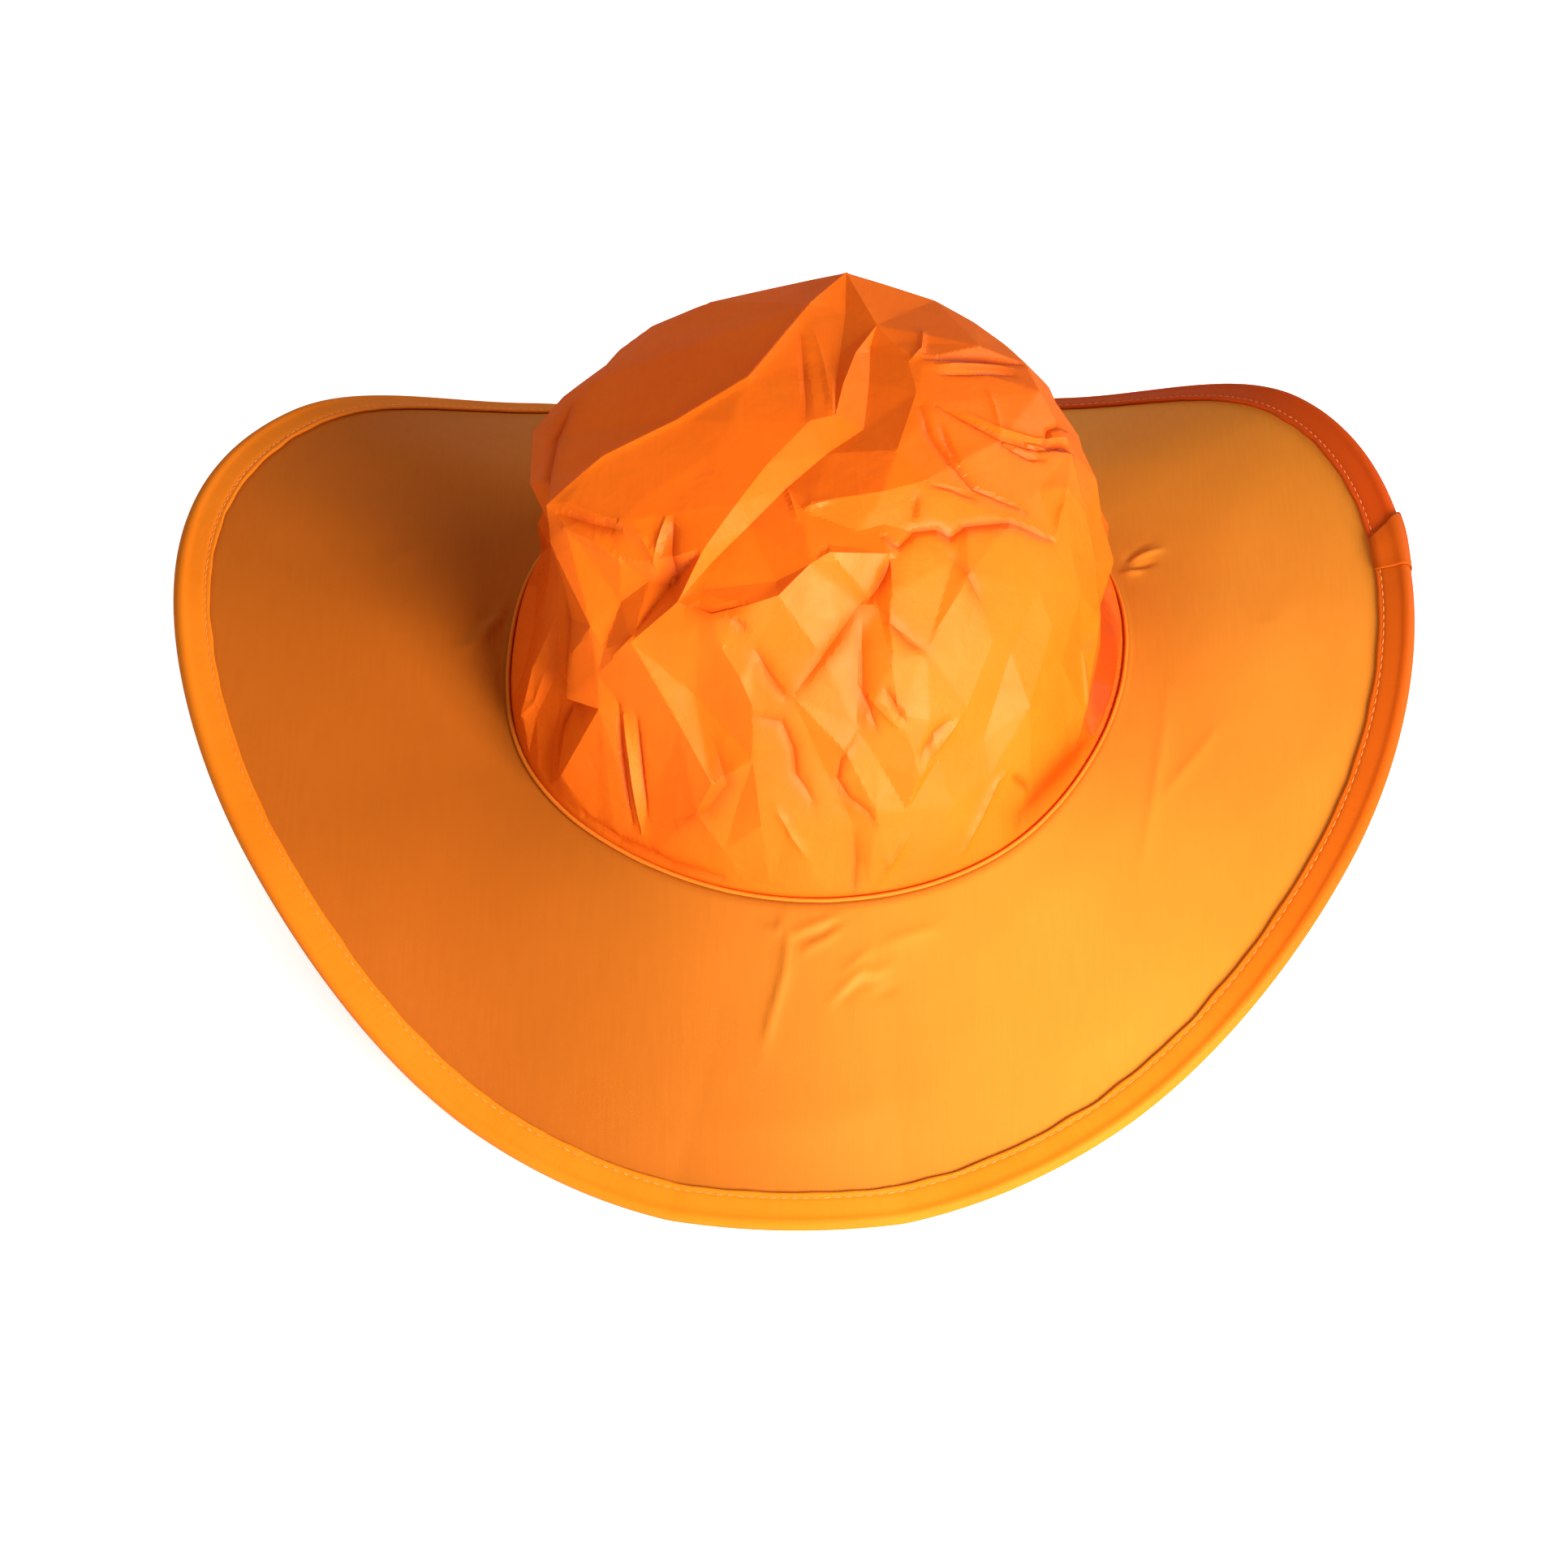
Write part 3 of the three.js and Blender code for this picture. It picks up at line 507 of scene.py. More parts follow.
def crownPoint(turn, climb):
    seam = seamPoint(turn)
    rise, width, shift = (along(crownRows, "climb", name, climb) for name in ("rise", "width", "shift"))
    facesFront = np.cos(np.radians(turn)) > 0
    front, back = (along(crownRows, "climb", name, climb) for name in ("front", "back"))
    depth = np.where(facesFront, front, back)
    high = crown["seamMean"] + (seam[..., 2] - crown["seamMean"]) * (1 - rise / crown["top"]) + rise
    return np.stack([hat["headX"] + shift + (seam[..., 0] - hat["headX"]) * width,
                     hat["headY"] + (seam[..., 1] - hat["headY"]) * depth, high], -1)


def crownOut(turn, climb):
    c = np.clip(climb, crown["probe"], crown["probeTo"])
    upward = crownPoint(turn, c + crown["probe"]) - crownPoint(turn, c - crown["probe"])
    return unit(np.cross(runOf(lambda t: crownPoint(t, c), turn), upward))


def layFlat(turn, climb):
    a = np.radians(turn)
    r = crown["flatReach"] * (1 - np.asarray(climb))
    return np.stack([r * np.sin(a), -r * np.cos(a)], -1)


def placeOf(flat):
    turn = np.degrees(np.arctan2(flat[..., 0], -flat[..., 1]))
    return turn, np.clip(1 - np.hypot(flat[..., 0], flat[..., 1]) / crown["flatReach"], 0, 1)


def lettered(first, count):  # ridgeA, ridgeB and so on
    return [first[:-1] + chr(ord(first[-1]) + k) for k in range(count)]


def spelledOut(run):
    names = []
    for word in run.split():
        first, _, last = word.partition("-")
        names += lettered(first, ord(last) - ord(first[-1]) + 1 if last else 1)
    return names


def crownNet():  # corners laid flat with their lifts, and the folds that join them
    rng = np.random.default_rng(crown["seed"])
    footTurns = np.arange(0, 360, crown["footEvery"])
    corners = [(*layFlat(turn, climb), 0.0) for climb in crown["footRows"] for turn in footTurns]
    number = {}
    for first, run in places.items():
        for name, (turn, climb, lift) in zip(lettered(first, len(run)), run):
            number[name] = len(corners)
            corners.append((*layFlat(turn, climb), lift))
    edges = []
    for run in folds.split(";"):
        names = spelledOut(run)
        edges += [(number[a], number[b]) for a, b in zip(names, names[1:])]
    lines = np.array([(corners[a][:2], corners[b][:2]) for a, b in edges])
    for n, (climb, spacing, lift, clear) in enumerate(zip(*fill.values())):
        for turn in np.arange(0, 360, spacing) + spacing / 2 * (n % 2):
            if crown["bareFrom"] < turn < crown["bareTo"]:
                continue
            spot = layFlat(turn, climb) + rng.uniform(-1, 1, 2) * crown["jitter"]
            swell = rng.uniform(-1, 1) * crown["crumple"]
            side = lines[:, 1] - lines[:, 0]
            s = np.clip(((spot - lines[:, 0]) * side).sum(1) / (side**2).sum(1), 0, 1)
            toFold = np.linalg.norm(lines[:, 0] + side * s[:, None] - spot, axis=1).min()
            toCorner = np.linalg.norm(np.array(corners)[:, :2] - spot, axis=1).min()
            if toFold > clear * crown["foldClear"] and toCorner > clear:
                corners.append((*spot, lift + swell))
    return np.array(corners), edges


def crownFacets(corners, edges):
    made = delaunay_2d_cdt([Vector(c[:2]) for c in corners], edges, [], 0, tiny)
    source = np.array([ids[0] for ids in made[3]])  # the folds cross nowhere, so each point is a corner
    return source[np.array([f for f in made[2] if len(f) == 3])]


def scatter(pace, backPace, footSteps, lines):  # mesh points: the foot, along the folds, a field between
    points, joined = [layFlat(fullTurn(footSteps), 0)], []
    total = footSteps
    for start, end in lines:
        n = max(1, round(np.linalg.norm(end - start) / pace))
        points.append(start + (end - start) * np.linspace(0, 1, n + 1)[:, None])
        joined += [(total + k, total + k + 1) for k in range(n)]
        total += n + 1
    kept = np.concatenate(points)
    cell = pace * crown["clearing"]
    taken = set()
    for i, j in np.floor(kept / cell).astype(int).tolist():
        taken |= {(i + a, j + b) for a in (-1, 0, 1) for b in (-1, 0, 1)}
    field = []
    rowPitch = math.sqrt(0.75)  # of rows of even triangles
    for step, isNear in ((pace, True), (backPace, False)):
        n = math.ceil(crown["flatReach"] / step / rowPitch)
        i, j = np.meshgrid(np.arange(-n, n + 1), np.arange(-n, n + 1), indexing="ij")
        spots = np.stack([(i + 0.5 * (j % 2)) * step, j * step * rowPitch], -1).reshape(-1, 2)
        turn, climb = placeOf(spots)
        near = (np.abs(turn) < crown["frontTurn"]) | (climb > crown["topFrom"])
        inside = np.hypot(*spots.T) < crown["flatReach"] - step * crown["hemClear"]
        field.append(spots[inside & (near == isNear)])
    field = np.concatenate(field)
    cells = np.floor(field / cell).astype(int).tolist()
    free = [k for k, (i, j) in enumerate(cells) if (i, j) not in taken]
    return np.concatenate([kept, field[free]]), joined


def onFacets(flat, corners, facets):  # the facet each point lies in, and its shares of the three corners
    home = np.zeros(len(flat), int)
    share = np.zeros((len(flat), 3))
    best = np.full(len(flat), -np.inf)
    order = np.argsort(flat[:, 0])
    across = flat[order, 0]
    for n, (a, b, c) in enumerate(corners[facets][..., :2]):
        low, high = np.searchsorted(across, [min(a[0], b[0], c[0]) - 1, max(a[0], b[0], c[0]) + 1])
        ids = order[low:high]
        u, v, w = b - a, c - a, flat[ids] - a
        area = u[0] * v[1] - u[1] * v[0]
        s = (w[:, 0] * v[1] - w[:, 1] * v[0]) / area
        t = (u[0] * w[:, 1] - u[1] * w[:, 0]) / area
        depth = np.minimum(np.minimum(s, t), 1 - s - t)
        better = depth > best[ids]
        ids, s, t = ids[better], s[better], t[better]
        best[ids] = depth[better]
        home[ids] = n
        share[ids] = np.stack([1 - s - t, s, t], 1)
    return home, share


def vertexNormals(points, triangles):
    a, b, c = (points[triangles[:, k]] for k in range(3))
    normal = np.cross(b - a, c - a)
    total = np.zeros_like(points)
    for k in range(3):
        np.add.at(total, triangles[:, k], normal)
    return unit(total)


def relax(points, triangles, passes, held):  # moves points half way to the middle of their neighbours
    pairs = np.concatenate([triangles[:, [0, 1]], triangles[:, [1, 2]], triangles[:, [2, 0]]])
    pairs = np.unique(np.sort(pairs, 1), axis=0)
    for _ in range(passes):
        total, count = np.zeros_like(points), np.zeros(len(points))
        for a, b in ((0, 1), (1, 0)):
            np.add.at(total, pairs[:, a], points[pairs[:, b]])
            np.add.at(count, pairs[:, a], 1)
        moved = points + (total / count[:, None] - points) * 0.5
        points = np.where(held[:, None], points, moved)
    return points


creaseTaper = (0.04, 0.96)  # so that a crease keeps some height at its ends


def creaseLift(flat, runs, lay):  # lift of fine creases, tapered at both ends of each run
    lift = np.zeros(len(flat))
    for high, wide, run in runs.values():
        spots = lay(*np.array(run).T)
        lengths = np.linalg.norm(np.diff(spots, axis=0), axis=1)
        passed = np.concatenate([[0], np.cumsum(lengths)])
        nearest, share = np.full(len(flat), np.inf), np.zeros(len(flat))
        for k, (a, b) in enumerate(zip(spots, spots[1:])):
            s = np.clip(((flat - a) @ (b - a)) / lengths[k]**2, 0, 1)
            away = np.linalg.norm(flat - a - (b - a) * s[:, None], axis=1)
            closer = away < nearest
            nearest[closer] = away[closer]
            share[closer] = (passed[k] + s[closer] * lengths[k]) / passed[-1]
        lift += high * np.sqrt(np.sin(np.pi * np.clip(share, *creaseTaper))) * np.exp(-nearest / wide)
    return lift


def crownSide(points, joined, net, rounding=0):  # one face of the cloth: its mesh over the facets of the net
    corners, facets, cornerPoints = net
    made = delaunay_2d_cdt([Vector(p) for p in points], joined, [], 0, tiny)
    flat = np.array([tuple(v) for v in made[0]])
    triangles = np.array([f for f in made[2] if len(f) == 3])
    order = {n: k for k, ids in enumerate(made[3]) for n in ids}
    foot = [order[k] for k in range(crown["footSteps"])]

    home, share = onFacets(flat, corners, facets)
    faceted = (cornerPoints[facets[home]] * share[..., None]).sum(1)
    lift = (corners[facets[home], 2] * share).sum(1)
    turn, climb = placeOf(flat)
    rounded = crownPoint(turn, climb) + crownOut(turn, climb) * lift[:, None]
    keep = 1 + (crown["bulge"] - 1) * easeBetween(0.0, crown["bulgeFrom"], climb)[:, None]
    spots = relax(faceted * (1 - keep) + rounded * keep, triangles, rounding, climb < tiny)
    if np.sum(vertexNormals(spots, triangles) * (spots - spots.mean(0))) < 0:
        triangles = triangles[:, ::-1]  # so that the faces look outwards
    level = easeBetween(0.0, crown["wallFrom"], climb)[:, None]
    out = unit(vertexNormals(spots, triangles) * level + crownOut(turn, climb) * (1 - level))
    return flat, spots, out, triangles, foot


def fineLift(flat):
    fade = easeBetween(0, crown["creasedFrom"], placeOf(flat)[1])
    return creaseLift(flat, crownCreases, layFlat) * crown["creased"] * fade


def makeCrown():
    corners, edges = crownNet()
    turn, climb = placeOf(corners[:, :2])
    lifted = crownPoint(turn, climb) + crownOut(turn, climb) * corners[:, 2:]
    net = corners, crownFacets(corners, edges), lifted
    lines = [corners[[a, b], :2] for a, b in edges]
    for _, _, run in crownCreases.values():
        spots = layFlat(*np.array(run).T)
        lines += list(zip(spots, spots[1:]))
    outside = scatter(crown["pace"], crown["backPace"], crown["footSteps"], lines)
    inside = scatter(crown["insidePace"], crown["insidePace"], crown["footSteps"], [])
    flat, outer, out, outerFaces, outerFoot = crownSide(*outside, net)
    lift = fineLift(flat)
    outer = outer + out * np.maximum(lift, -crown["deepest"])[:, None]
    flatInside, inner, out, innerFaces, innerFoot = crownSide(*inside, net, crown["insideRounding"])
    inner = inner - out * (crown["wall"] - np.clip(fineLift(flatInside), -crown["deepest"], 0))[:, None]
    innerFaces = innerFaces[:, ::-1] + len(outer)
    n = crown["footSteps"]
    innerFoot = [k + len(outer) for k in innerFoot]
    hem = [[outerFoot[(k + 1) % n], outerFoot[k], innerFoot[k], innerFoot[(k + 1) % n]] for k in range(n)]
    faces = outerFaces.tolist() + innerFaces.tolist() + hem
    points = np.concatenate([outer, inner])
    print("crown corners", len(corners), "triangles", len(outerFaces) + len(innerFaces) + 2 * n)

    # Threads run round and up the wall, and straight across the top
    turn, climb = placeOf(np.concatenate([flat, flatInside]))
    upWall = np.stack([np.radians(turn) * crown["threadReach"], climb * crown["threadRise"]], -1)
    ids = np.array([i for f in faces for i in f])
    sizes = np.array([len(f) for f in faces])
    owner = np.repeat(np.arange(len(faces)), sizes)
    onWall = (np.bincount(owner, climb[ids] < crown["threadsTo"]) / sizes > 0.5)[owner]  # by most corners
    uv = np.where(onWall[:, None], upWall[ids], points[ids, :2])
    starts = np.cumsum(sizes) - sizes
    wayRound = 2 * math.pi * crown["threadReach"]
    uv[:, 0] -= np.where(onWall, np.round((uv[:, 0] - uv[starts][owner, 0]) / wayRound) * wayRound, 0)
    piece = makePiece("crown_cloth", points, faces, crownTaffeta, uv)
    # painted shade: the deeper a groove, the more of the dark crease colour it takes
    depth = np.clip(-lift / crown["fullShadeDepth"], 0, 1)**crown["shadeCurve"]
    addShares(piece, "creased", np.append(depth, np.zeros(len(inner))))
    piece.data.set_sharp_from_angle(angle=math.radians(crown["sharpFold"]))
    return piece


crownCloth = makeCrown()
print("crown made")


# Brim: one sheet from under the crown's foot to the slot in the edge binding
brim = {
    "turnSteps": 720, "fineRows": 30, "wideRows": 13, "fineTo": 0.45, "inside": 4.1, "slotEnd": 2.9,
    "creased": 1.5, "creasedOver": (0, 0.04, 0.9, 0.95),  # shares of the way from the seam to the edge
    "ripple": 0.7, "rippleMm": 34, "rippledOver": (0.05, 0.3, 0.7, 0.9),
}
# Short creases of the stretched sheet: height, width, and places of turn and share of the way to the edge
brimCreases = {
    "front ridge": (1, 1.3, [(-5.8, .027), (-4.2, .104), (-4.1, .227), (-4.8, .363), (-5.3, .473)]),
    "front small": (.6, 1, [(-8.1, .074), (-6.1, .087), (-5.6, .044)]),
    "first fold": (.8, 1, [(-4.2, .1), (-1.7, .07), (.5, .051), (3.5, .028)]),
    "first valley": (-.7, 1, [(-3.3, .106), (.3, .09), (3.3, .048)]),
    "second fold": (.7, 1.1, [(-2.2, .157), (-.5, .122), (1.2, .103), (3.9, .068)]),
    "mark": (.5, 1, [(4, .216), (5.8, .182), (7.9, .15)]),
    "hook": (.7, 1.1, [(2.5, .312), (5.2, .247), (6.4, .22), (8.5, .23), (10.5, .215)]),
    "hook shade": (-.5, 1.1, [(3.5, .32), (6, .262), (9, .255)]),
    "low": (-.4, 1.4, [(8, .305), (11.4, .283)]),
    "band": (.5, 2, [(9.4, .142), (14.4, .125), (18.2, .129)]),
    "left fold": (1.3, 1.3, [(263.5, .016), (270.1, .052), (274.8, .092), (276.3, .131)]),
    "left shade": (-.6, 1.6, [(266, .02), (270, .1), (274, .14)]),
    "left small": (.5, 1.1, [(277, .02), (287, .02)]),
    "right ray": (.9, 1.2, [(106.7, .07), (106.6, .14), (106.5, .199)]),
    "right low ray": (.9, 1, [(104.5, .035), (103.3, .073), (103.1, .101)]),
    "right valley": (-.8, 1, [(104.6, .065), (104, .145)]),
    "right top valley": (-.7, 1.1, [(106.1, .052), (107.6, .086), (109.2, .167)]),
    "left wing": (.3, 1.8, [(262, .41), (253, .32)]),
    "front edge": (.35, 2, [(347, .78), (2, .71), (16, .65)]),
    "left edge": (.4, 2.6, [(306, .79), (318, .86)]),
    "right front": (.3, 1.8, [(57, .3), (70, .39)]),
    "right long": (.3, 1.8, [(75, .16), (47, .4)]),
    "right wing": (.3, 1.6, [(90, .59), (84, .51)]),
    "back one": (.8, 1.8, [(200, .05), (203, .3)]),
    "back two": (.7, 1.6, [(230, .04), (226, .2)]),
    "back three": (.8, 1.7, [(160, .05), (156, .25)]),
    "back four": (.6, 1.5, [(135, .04), (137, .15)]),
}


def layBrim(turn, share):  # the brim laid flat, seen from above
    reach = around("seamReach", turn) * (1 - share) + around("edgeReach", turn) * share
    return polar(reach, turn, 0.0)[..., :2]


def makeBrim():
    turn = fullTurn(brim["turnSteps"])
    share = np.concatenate([np.linspace(0, brim["fineTo"], brim["fineRows"]),
                            np.linspace(brim["fineTo"], 1, brim["wideRows"])[1:]])

    def middle(turn):
        start = brimStart(turn)
        out, _ = edgeFrame(turn)
        end = beadPoint(turn) - out * brim["slotEnd"]
        inside = start - seamOut(turn) * brim["inside"]
        rows = start[:, None] + (end - start)[:, None] * share[None, :, None]
        return np.concatenate([inside[:, None], rows], 1)

    rows = middle(turn)
    up = unit(np.cross(np.gradient(rows, axis=1), runOf(middle, turn)))
    turnGrid, shareGrid = np.meshgrid(turn, share, indexing="ij")
    flatBrim = layBrim(turnGrid.ravel(), shareGrid.ravel())
    rise = creaseLift(flatBrim, brimCreases, layBrim).reshape(turnGrid.shape)
    rise *= brim["creased"] * plateau(brim["creasedOver"], shareGrid)
    spots = rows[:, 1:].reshape(-1, 3) / brim["rippleMm"]
    ripple = np.array([noise.noise(Vector((x, y, 0))) for x, y, z in spots]).reshape(rise.shape)
    rise += brim["ripple"] * ripple * plateau(brim["rippledOver"], shareGrid)
    rise = np.concatenate([rise[:, :1] * 0, rise], 1)
    half = hat["brimSheet"] / 2
    upper = rows + up * (rise + half)[..., None]
    lower = rows + up * (rise - half)[..., None]
    sections = np.concatenate([lower, upper[:, ::-1]], 1)

    # Threads lie as cut from flat cloth
    flat = np.concatenate([rows[..., :2], rows[:, ::-1, :2]], 1).reshape(-1, 2)
    faces = sectionFaces(*sections.shape[:2], len(turn))
    return makePiece("brim_cloth", sections.reshape(-1, 3), faces.tolist(), brimTaffeta, flat[faces.ravel()])


brimCloth = makeBrim()
print("brim made")


# Edge binding: a tape folded round the brim's edge, with the round bead of the spring at the rim
binding = {
    "turnSteps": 720, "width": 10.5, "tape": 1.0,
    "beadFrom": 118, "beadSteps": 9,  # degrees of the bead that the tape covers above, and points on them
    "topPoints": (0, 0.25, 0.6, 1.0, 1.3, 1.6, 1.9, 2.2, 2.7, 3.6, 4.6, 5.6, 6.4),  # from its inner edge
    "hemDrop": (0.35, 0.08),  # how far the first of them sink
    "stitchIn": 1.6,  # stitch line from the tape's inner edge
    "groove": 0.22, "grooveWidth": 0.5,
    "hemWidth": 1.4,  # strip along the inner edge that is uneven and puckered
    "uneven": 0.5, "unevenNoise": (0.35, 9.1), "pucker": 0.2, "puckerNoise": (0.9, 3.7),  # pace, row
    "shadedTurns": (94.7, 95.3, 150, 200),  # turns where the tape has painted shade, darker and redder
    "threadReach": 178,  # flat length of the tape, as the radius of a ring
}
flatEnd = hat["beadRadius"] - binding["width"]  # the tape's inner edge, seen from the middle of the bead
slotHalf = hat["brimSheet"] / 2 + hat["gap"]
tapeHalf = slotHalf + binding["tape"]


def tapeTop():  # upper half of the tape's section, from its inner edge over to the rim
    xs = np.array(binding["topPoints"]) + flatEnd
    fromStitch = (xs - flatEnd - binding["stitchIn"]) / binding["grooveWidth"]
    ys = tapeHalf - binding["groove"] * np.exp(-fromStitch**2)
    ys[:2] -= binding["hemDrop"]
    bead = np.radians(np.linspace(binding["beadFrom"], 0, binding["beadSteps"]))
    return (np.concatenate([xs, hat["beadRadius"] * np.cos(bead)]),
            np.concatenate([ys, hat["beadRadius"] * np.sin(bead)]))


def tapePoints(turn, x, y):  # laid flat on the surface where the section would go below it
    out, up = edgeFrame(turn)
    points = beadPoint(turn)[:, None] + out[:, None] * x[..., None] + up[:, None] * y[..., None]
    points[..., 2] = np.maximum(points[..., 2], 0)
    return points


def makeBinding():
    turn = fullTurn(binding["turnSteps"])
    topX, topY = tapeTop()
    slotEnd = -hat["beadRadius"] - hat["gap"]
    x = np.concatenate([topX[:-1], topX[::-1], [flatEnd, slotEnd, slotEnd, flatEnd]])
    y = np.concatenate([-topY[:-1], topY[::-1], [slotHalf, slotHalf, -slotHalf, -slotHalf]])
    nearHem = 1 - easeBetween(0, binding["hemWidth"], x - flatEnd)
    place = np.arange(len(x)) - len(topX) + 1
    isTop = (place >= 0) & (place < len(topX) - 2)
    uneven = wander(turn, *binding["unevenNoise"])[:, None] * binding["uneven"]
    pucker = wander(turn, *binding["puckerNoise"])[:, None] * binding["pucker"]
    sections = tapePoints(turn, x + uneven * nearHem, y + pucker * (isTop * nearHem))
    wayRound = 2 * math.pi * binding["threadReach"]
    piece = makeRing("edge_binding_tape", sections, loopLengths(x, y), wayRound, tapeTaffeta)
    # painted shade: the tape past its lap, darker and redder
    addShares(piece, "turned", np.repeat(plateau(binding["shadedTurns"], turn), len(x)))
    return piece


bindingTape = makeBinding()
print("edge binding made")


# Lapped end of the tape: a folded wrap over the binding, cut at a slant
lap = {
    "from": 91.5, "to": 98.2, "steps": 24, "skew": -2.6, "tape": 0.8, "thinEnd": 0.15, "thinTo": 0.8,
    "flatPoints": (0, 2.7, 5.4), "beadSteps": 17, "lapShade": 0.1,
}


def wrapOutline(extra):
    flat = flatEnd + np.array(lap["flatPoints"])
    half, radius = np.full(len(flat), tapeHalf + extra), hat["beadRadius"] + extra
    bead = np.radians(np.linspace(-binding["beadFrom"], binding["beadFrom"], lap["beadSteps"]))
    return (np.concatenate([flat, radius * np.cos(bead), flat[::-1]]),
            np.concatenate([-half, radius * np.sin(bead), half]))


def makeLap():
    steps = lap["steps"]
    step = np.arange(steps + 1) / steps
    thick = lap["thinEnd"] + (lap["tape"] - lap["thinEnd"]) * easeBetween(0, lap["thinTo"], step)
    nearX, nearY = wrapOutline(hat["gap"])
    outlines = [wrapOutline(hat["gap"] + t) for t in thick]
    x = np.array([np.concatenate([farX, nearX[::-1]]) for farX, farY in outlines])
    y = np.array([np.concatenate([farY, nearY[::-1]]) for farX, farY in outlines])
    size = x.shape[1]
    turn = lap["from"] + (lap["to"] - lap["from"]) * step
    slant = turn[:, None] + lap["skew"] * step[:, None] * (hat["beadRadius"] - x) / binding["width"]
    points = np.stack([tapePoints(slant[:, k], x[:, [k]], y[:, [k]])[:, 0] for k in range(size)], 1)
    faces = sectionFaces(steps, size, steps + 1).tolist()
    end = steps * size
    for a in range(len(nearX) - 1):  # caps at both ends
        b = size - 1 - a
        faces += [[a, a + 1, b - 1, b], [end + a, end + b, end + b - 1, end + a + 1]]
    reach = np.radians(turn) * binding["threadReach"]
    spots = np.stack([np.repeat(reach, size), np.tile(loopLengths(x[-1], y[-1]), steps + 1)], -1)
    uv = np.array([spots[v] for face in faces for v in face])
    piece = makePiece("binding_lap_tape", points.reshape(-1, 3), faces, tapeTaffeta, uv)
    # painted shade: the lap takes a little of the tape's darker, redder colour
    addShares(piece, "turned", np.full(len(piece.data.vertices), lap["lapShade"]))
    return piece


lapTape = makeLap()
print("lap made")


# Welt at the crown's foot: a thin fold of cloth that lies on the brim's flat band
welt = {
    "radius": 0.62, "turnSteps": 720, "sides": 10, "threadReach": 98,
    "wander": 0.15, "wanderNoise": (0.22, 1.3), "swell": 0.3,
}


def makeWelt():
    turn = fullTurn(welt["turnSteps"])
    out = seamOut(turn)
    sway = wander(turn, *welt["wanderNoise"]) * welt["wander"]
    reach = hat["gap"] + welt["radius"] + np.maximum(sway, 0)
    middle = seamPoint(turn) + out * reach[:, None] + (0, 0, welt["radius"])
    angle = np.radians(fullTurn(welt["sides"]))
    size = welt["radius"] * (1 + sway * welt["swell"])
    sections = (middle[:, None] + out[:, None] * (np.cos(angle)[None, :, None] * size[:, None, None])
                + np.array([0, 0, 1]) * (np.sin(angle)[None, :, None] * size[:, None, None]))
    wayRound = 2 * math.pi * welt["threadReach"]
    return makeRing("crown_seam_welt", sections, angle * welt["radius"], wayRound, weltTaffeta)


seamWelt = makeWelt()
print("welt made")


# Stitches of the binding, laid along a path by Geometry Nodes
stitches = {
    "pathSteps": 720, "pitch": 3.0, "length": 2.2, "radius": 0.19, "sunk": 0.65, "uneven": 0.12, "seed": 3,
}


def stitchTree():
    tree = bpy.data.node_groups.new("stitch row", "GeometryNodeTree")
    tree.is_modifier = True
    sockets = {
        "Path": ("NodeSocketGeometry", None), "Pitch": ("NodeSocketFloat", 3.0 * mm),
        "Stitch Length": ("NodeSocketFloat", 2.3 * mm), "Thread Radius": ("NodeSocketFloat", 0.2 * mm),
        "Uneven": ("NodeSocketFloat", 0.1), "Seed": ("NodeSocketInt", 0),
        "Thread": ("NodeSocketMaterial", None),
    }
    for name, (kind, value) in sockets.items():
        socket = tree.interface.new_socket(name=name, in_out="INPUT", socket_type=kind)
        if value is not None:
            socket.default_value = value
    tree.interface.new_socket(name="Stitches", in_out="OUTPUT", socket_type="NodeSocketGeometry")
    given = addNode(tree, "NodeGroupInput").outputs
    path = addNode(tree, "GeometryNodeMeshToCurve", links={"Mesh": given["Path"]})
    spots = addNode(tree, "GeometryNodeResampleCurve", {"mode": "LENGTH"},
                    {"Curve": path, "Length": given["Pitch"]})
    ahead = addNode(tree, "GeometryNodeInputTangent")
    turned = addNode(tree, "FunctionNodeAlignRotationToVector", {"axis": "Z"}, {"Vector": ahead})
    grain = addNode(tree, "GeometryNodeMeshUVSphere", {"Segments": 6, "Rings": 4, "Radius": 1.0})
    halfLength = addNode(tree, "ShaderNodeMath", {"operation": "MULTIPLY", 1: 0.5},
                         {0: given["Stitch Length"]})
    size = addNode(tree, "ShaderNodeCombineXYZ", links={
        "X": given["Thread Radius"], "Y": given["Thread Radius"], "Z": halfLength})
    low = addNode(tree, "ShaderNodeMath", {"operation": "SUBTRACT", 0: 1.0}, {1: given["Uneven"]})
    vary = addNode(tree, "FunctionNodeRandomValue", {"data_type": "FLOAT", 3: 1.0},
                   {2: low, "Seed": given["Seed"]}).outputs[1]
    uneven = addNode(tree, "ShaderNodeVectorMath", {"operation": "SCALE"}, {0: size, "Scale": vary})
    row = addNode(tree, "GeometryNodeInstanceOnPoints", links={
        "Points": spots, "Instance": grain, "Rotation": turned, "Scale": uneven})
    real = addNode(tree, "GeometryNodeRealizeInstances", links={0: row})
    smooth = addNode(tree, "GeometryNodeSetShadeSmooth", links={"Geometry": real})
    dyed = addNode(tree, "GeometryNodeSetMaterial", links={"Geometry": smooth, "Material": given["Thread"]})
    addNode(tree, "NodeGroupOutput", links={0: dyed})
    return tree


